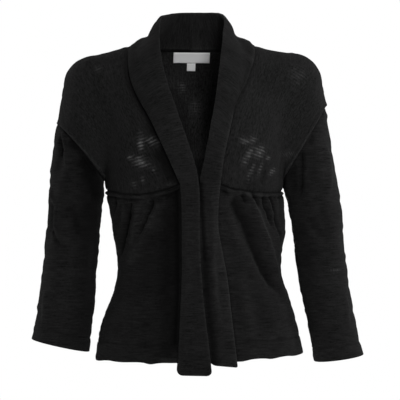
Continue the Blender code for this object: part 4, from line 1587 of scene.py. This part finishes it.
# %% Shader maths as Python
class Wire:
    """One output of a material's nodes."""

    def __init__(self, tree, socket):
        self.tree, self.socket = tree, socket

    def node(self, kind, settings=None, sockets=None, output=0):
        """Adds a node: its settings come first, then the values or links of its sockets."""
        node = self.tree.nodes.new(kind)
        for name, value in (settings or {}).items():
            setattr(node, name, value)
        for name, value in (sockets or {}).items():
            if isinstance(value, Wire):
                self.tree.links.new(value.socket, node.inputs[name])
            else:
                node.inputs[name].default_value = value
        return Wire(self.tree, node.outputs[output])

    def maths(self, operation, *others, clamp=False):
        values = dict(enumerate((self, *others)))
        settings = {"operation": operation, "use_clamp": clamp}
        return self.node("ShaderNodeMath", settings, values)

    def __add__(self, other):
        return self.maths("ADD", other)

    def __sub__(self, other):
        return self.maths("SUBTRACT", other)

    def __rsub__(self, other):
        return self.maths("MULTIPLY", -1.0) + other

    def __mul__(self, other):
        return self.maths("MULTIPLY", other)

    __radd__, __rmul__ = __add__, __mul__

    def between(self, low, high):
        """0 below the low value and 1 above the high one, with a soft step between."""
        settings = {"interpolation_type": "SMOOTHSTEP"}
        values = {"Value": self, "From Min": low, "From Max": high}
        return self.node("ShaderNodeMapRange", settings, values)


PALE, WHITE = (0.8, 0.8, 0.8, 1), (1, 1, 1, 1)


def new_material(name, roughness):
    material = bpy.data.materials.new(name)
    material.use_nodes = True
    tree = material.node_tree
    shader = tree.nodes["Principled BSDF"]
    shader.inputs["Roughness"].default_value = roughness
    return material, Wire(tree, None), shader


# %% [markdown]
# ## The knit
#
# Jersey is knitted in rows of small loops from one yarn.  A dyed black yarn still gives back
# a little light, and more of it where the yarn is thick and stands up.  The slub yarn runs
# along each row, so its thick and thin stretches show as streaks.  The streaks are noise
# that is drawn out along the rows of the flat cloth, so they follow the cloth over a fold.

# %% The knit
STITCH, ROW, LADDER = 0.0013, 0.0010, 0.0044
SHINE = {"Specular IOR Level": 0.02, "Sheen Weight": 0.02, "Sheen Roughness": 0.6}
BLACK, GREY = (0.0, 0.0, 0.0, 1), (0.086, 0.086, 0.086, 1)


def knit_material():
    material, wire, shader = new_material("black_slub_knit", 0.9)
    flat = wire.node("ShaderNodeUVMap", {"uv_map": "flat_cloth"})
    upright, thin, painted_shading = (
        wire.node("ShaderNodeAttribute", {"attribute_name": name}, output=2)
        for name in ("upright", "thin", "painted_shading")
    )
    course, wale = (wire.node("ShaderNodeSeparateXYZ", {}, {"Vector": flat}, k) for k in (0, 1))

    def noise(along, across, detail):
        """Noise with so many patches a metre along the rows and across them."""
        sockets = {0: flat, 1: (along, across, 1)}
        drawn = wire.node("ShaderNodeVectorMath", {"operation": "MULTIPLY"}, sockets)
        values = {"Vector": drawn, "Scale": 1.0, "Detail": detail, "Roughness": 0.6}
        return wire.node("ShaderNodeTexNoise", {"noise_dimensions": "2D"}, values)

    # On the yokes the rows run up and down, and the streaks are shorter.
    streak, mottle = noise(55, 600, 2.0), noise(140, 430, 2.0)
    yarn = streak + (mottle - streak) * upright
    grain, patchy = noise(300, 900, 1.0), noise(12, 40, 1.0)
    slub = noise(24, 330, 1.0).between(0.62, 0.72)
    loops = (course * (math.pi / STITCH)).maths("SINE").maths("ABSOLUTE")
    rows = (wale * (2 * math.pi / ROW) + 1.5 * loops).maths("SINE")

    # Where the knit is open, the rungs of yarn are painted lighter: painted light, as light shows
    # through the open knit.
    rungs = (course * (2 * math.pi / LADDER) + 5.0 * patchy).maths("SINE")
    dashes = noise(260, 110, 2.0).between(0.42, 0.62)
    opened = thin * ((0.5 + 0.5 * rungs) * (0.3 + dashes) + 0.35 * thin)

    shade = 1.0 + 2.0 * (yarn - 0.5) + 1.4 * (grain - 0.5) + 0.5 * (patchy - 0.5)
    # The pieces' painted shading multiplies the knit's colour: painted shade in creases, seams and
    # hollows, painted highlight on ridges and edges, painted light on the inside.
    shade = (shade + 0.3 * slub + 0.15 * (loops - 0.64)) * painted_shading + 8.5 * opened
    mixed = {0: shade * 0.1, 6: BLACK, 7: GREY}
    colour = wire.node("ShaderNodeMix", {"data_type": "RGBA"}, mixed, 2)
    height = loops * (0.75 + 0.25 * rows) + 1.6 * yarn + 0.5 * grain - 1.5 * opened
    raised = {"Strength": 0.6, "Distance": 0.0004, "Height": height}
    bump = wire.node("ShaderNodeBump", {}, raised)
    for name, made in (("Base Color", colour), ("Normal", bump)):
        material.node_tree.links.new(made.socket, shader.inputs[name])
    for name, value in SHINE.items():
        shader.inputs[name].default_value = value
    return material


knit = knit_material()
label_cloth, wire, shader = new_material("grey_label_ribbon", 0.6)
shader.inputs["Base Color"].default_value = PALE
print("nodes of the knit:", len(knit.node_tree.nodes))

# %% [markdown]
# ## What each piece was cut to
#
# A sheet of cloth is measured before it is hung: across the knit and down it, in metres.
# These are the sizes of the pieces made above, rounded up to the next five millimetres, with
# no turnings.  The collar and its bands are folded double, so their real cut is twice as
# wide as what shows.  The skirts take in their fullness at the waist seam, which the width
# measured across their folds holds already.

# %% Each piece rides on the one body and stands for its solid
Cut = namedtuple("Cut", "wide long")
CUTS = {
    "front_yoke_right": Cut(0.210, 0.310),
    "front_yoke_left": Cut(0.180, 0.310),
    "back_yoke": Cut(0.630, 0.290),
    "sleeve_right": Cut(0.345, 0.350),
    "sleeve_left": Cut(0.380, 0.410),
    "front_skirt_right": Cut(0.205, 0.295),
    "front_skirt_left": Cut(0.210, 0.290),
    "back_skirt": Cut(0.440, 0.285),
    "collar_band_right": Cut(0.075, 0.710),
    "collar_band_left": Cut(0.075, 0.700),
    "neck_label": Cut(0.060, 0.021),
    "size_tab": Cut(0.0142, 0.0145),
}
for piece, node in PIECES:
    trim = node in ("neck_label", "size_tab")
    piece.data.materials.append(label_cloth if trim else knit)
    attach(piece, "root")
    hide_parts(node)
    area = sum(face.area for face in piece.data.polygons) / 2
    cut = CUTS[node]
    min(area, cut.wide * cut.long)
    print(f"{node}: {area * 1e4:.0f} square cm of {cut.wide * cut.long * 1e4:.0f}")

# %% [markdown]
# ## Stage
#
# The photograph was taken in front of white paper and cut out.  A wide pale disc far below
# the garment stands for the floor, and shines a little so that it looks white.

# %% Stage
FLOOR_HEIGHT, FLOOR_RADIUS, FLOOR_GLOW = -1.3, 4.5, 0.5
floor_mesh = bpy.data.meshes.new("studio_floor")
bm = bmesh.new()
bmesh.ops.create_circle(bm, cap_ends=True, segments=64, radius=FLOOR_RADIUS)
for vert in bm.verts:
    vert.co.z = FLOOR_HEIGHT
bm.to_mesh(floor_mesh)
bm.free()
floor = bpy.data.objects.new("studio_floor", floor_mesh)
bpy.context.scene.collection.objects.link(floor)
floor_paint, wire, shader = new_material("pale_floor", 0.8)
shader.inputs["Base Color"].default_value = PALE
shader.inputs["Emission Color"].default_value = WHITE
shader.inputs["Emission Strength"].default_value = FLOOR_GLOW
floor_mesh.materials.append(floor_paint)
print("floor:", 2 * FLOOR_RADIUS, "m across,", -FLOOR_HEIGHT, "m below the origin")

# %% [markdown]
# ## Light
#
# Black cloth shows its form only where light grazes it.  So large soft boxes stand round
# the garment: one at its left, one behind that, one that glances in from behind on the right,
# and fills in front, above and at the back.  The room gives little light but looks white
# behind the garment, because the world's node tells the camera's own rays from the rest.

# %% Light
AROUND = 0.08
SCENE = bpy.context.scene
world = bpy.data.worlds.new("studio")
SCENE.world = world
world.use_nodes = True
background = world.node_tree.nodes["Background"]
background.inputs["Color"].default_value = WHITE
seen = Wire(world.node_tree, None).node("ShaderNodeLightPath")
world.node_tree.links.new((AROUND + (1 - AROUND) * seen).socket, background.inputs["Strength"])

Softbox = namedtuple("Softbox", "name turn rise size power")
SOFTBOXES = (
    Softbox("fill", 10, 22, 0.9, 49),
    Softbox("above", 12, 75, 0.9, 30),
    Softbox("key", 85, 20, 0.9, 27),
    Softbox("rim", 110, 35, 0.9, 15),
    Softbox("glance", -126, 20, 0.9, 36),
    Softbox("back", 180, 8, 1.2, 50),
)
LIT, STUDIO = Vector((0, 0, -0.2)), 3.0


def set_up(thing, target, turn, rise):
    """Stands a lamp or a camera off from the target, at angles in degrees, facing it."""
    turn, rise = math.radians(turn), math.radians(rise)
    flat = math.cos(rise)
    way = Vector((math.sin(turn) * flat, -math.cos(turn) * flat, math.sin(rise)))
    thing.location = target + STUDIO * way
    thing.rotation_euler = (-way).to_track_quat("-Z", "Y").to_euler()
    SCENE.collection.objects.link(thing)


for box in SOFTBOXES:
    light = bpy.data.lights.new(box.name, "AREA")
    light.shape, light.size, light.energy = "DISK", box.size, box.power
    set_up(bpy.data.objects.new(box.name, light), LIT, box.turn, box.rise)
print("light:", sum(box.power for box in SOFTBOXES), "W")

# %% [markdown]
# ## Camera
#
# Pictures of clothes are taken from far off with a long lens, which keeps their form true.
# The camera stands three metres off and a little towards the wearer's right, which brings
# the same parts into view as in the photograph.

# %% Camera
CAMERA_TARGET = Vector((0.0112, 0.0, -0.2304))
CAMERA_TURN, LENS, SENSOR = -4, 168.75, 36
camera = bpy.data.objects.new("camera", bpy.data.cameras.new("camera"))
camera.data.lens, camera.data.sensor_width = LENS, SENSOR
set_up(camera, CAMERA_TARGET, CAMERA_TURN, 0)
SCENE.camera = camera
SCENE.view_settings.view_transform = "Standard"
print("camera at", [round(place, 3) for place in camera.location])
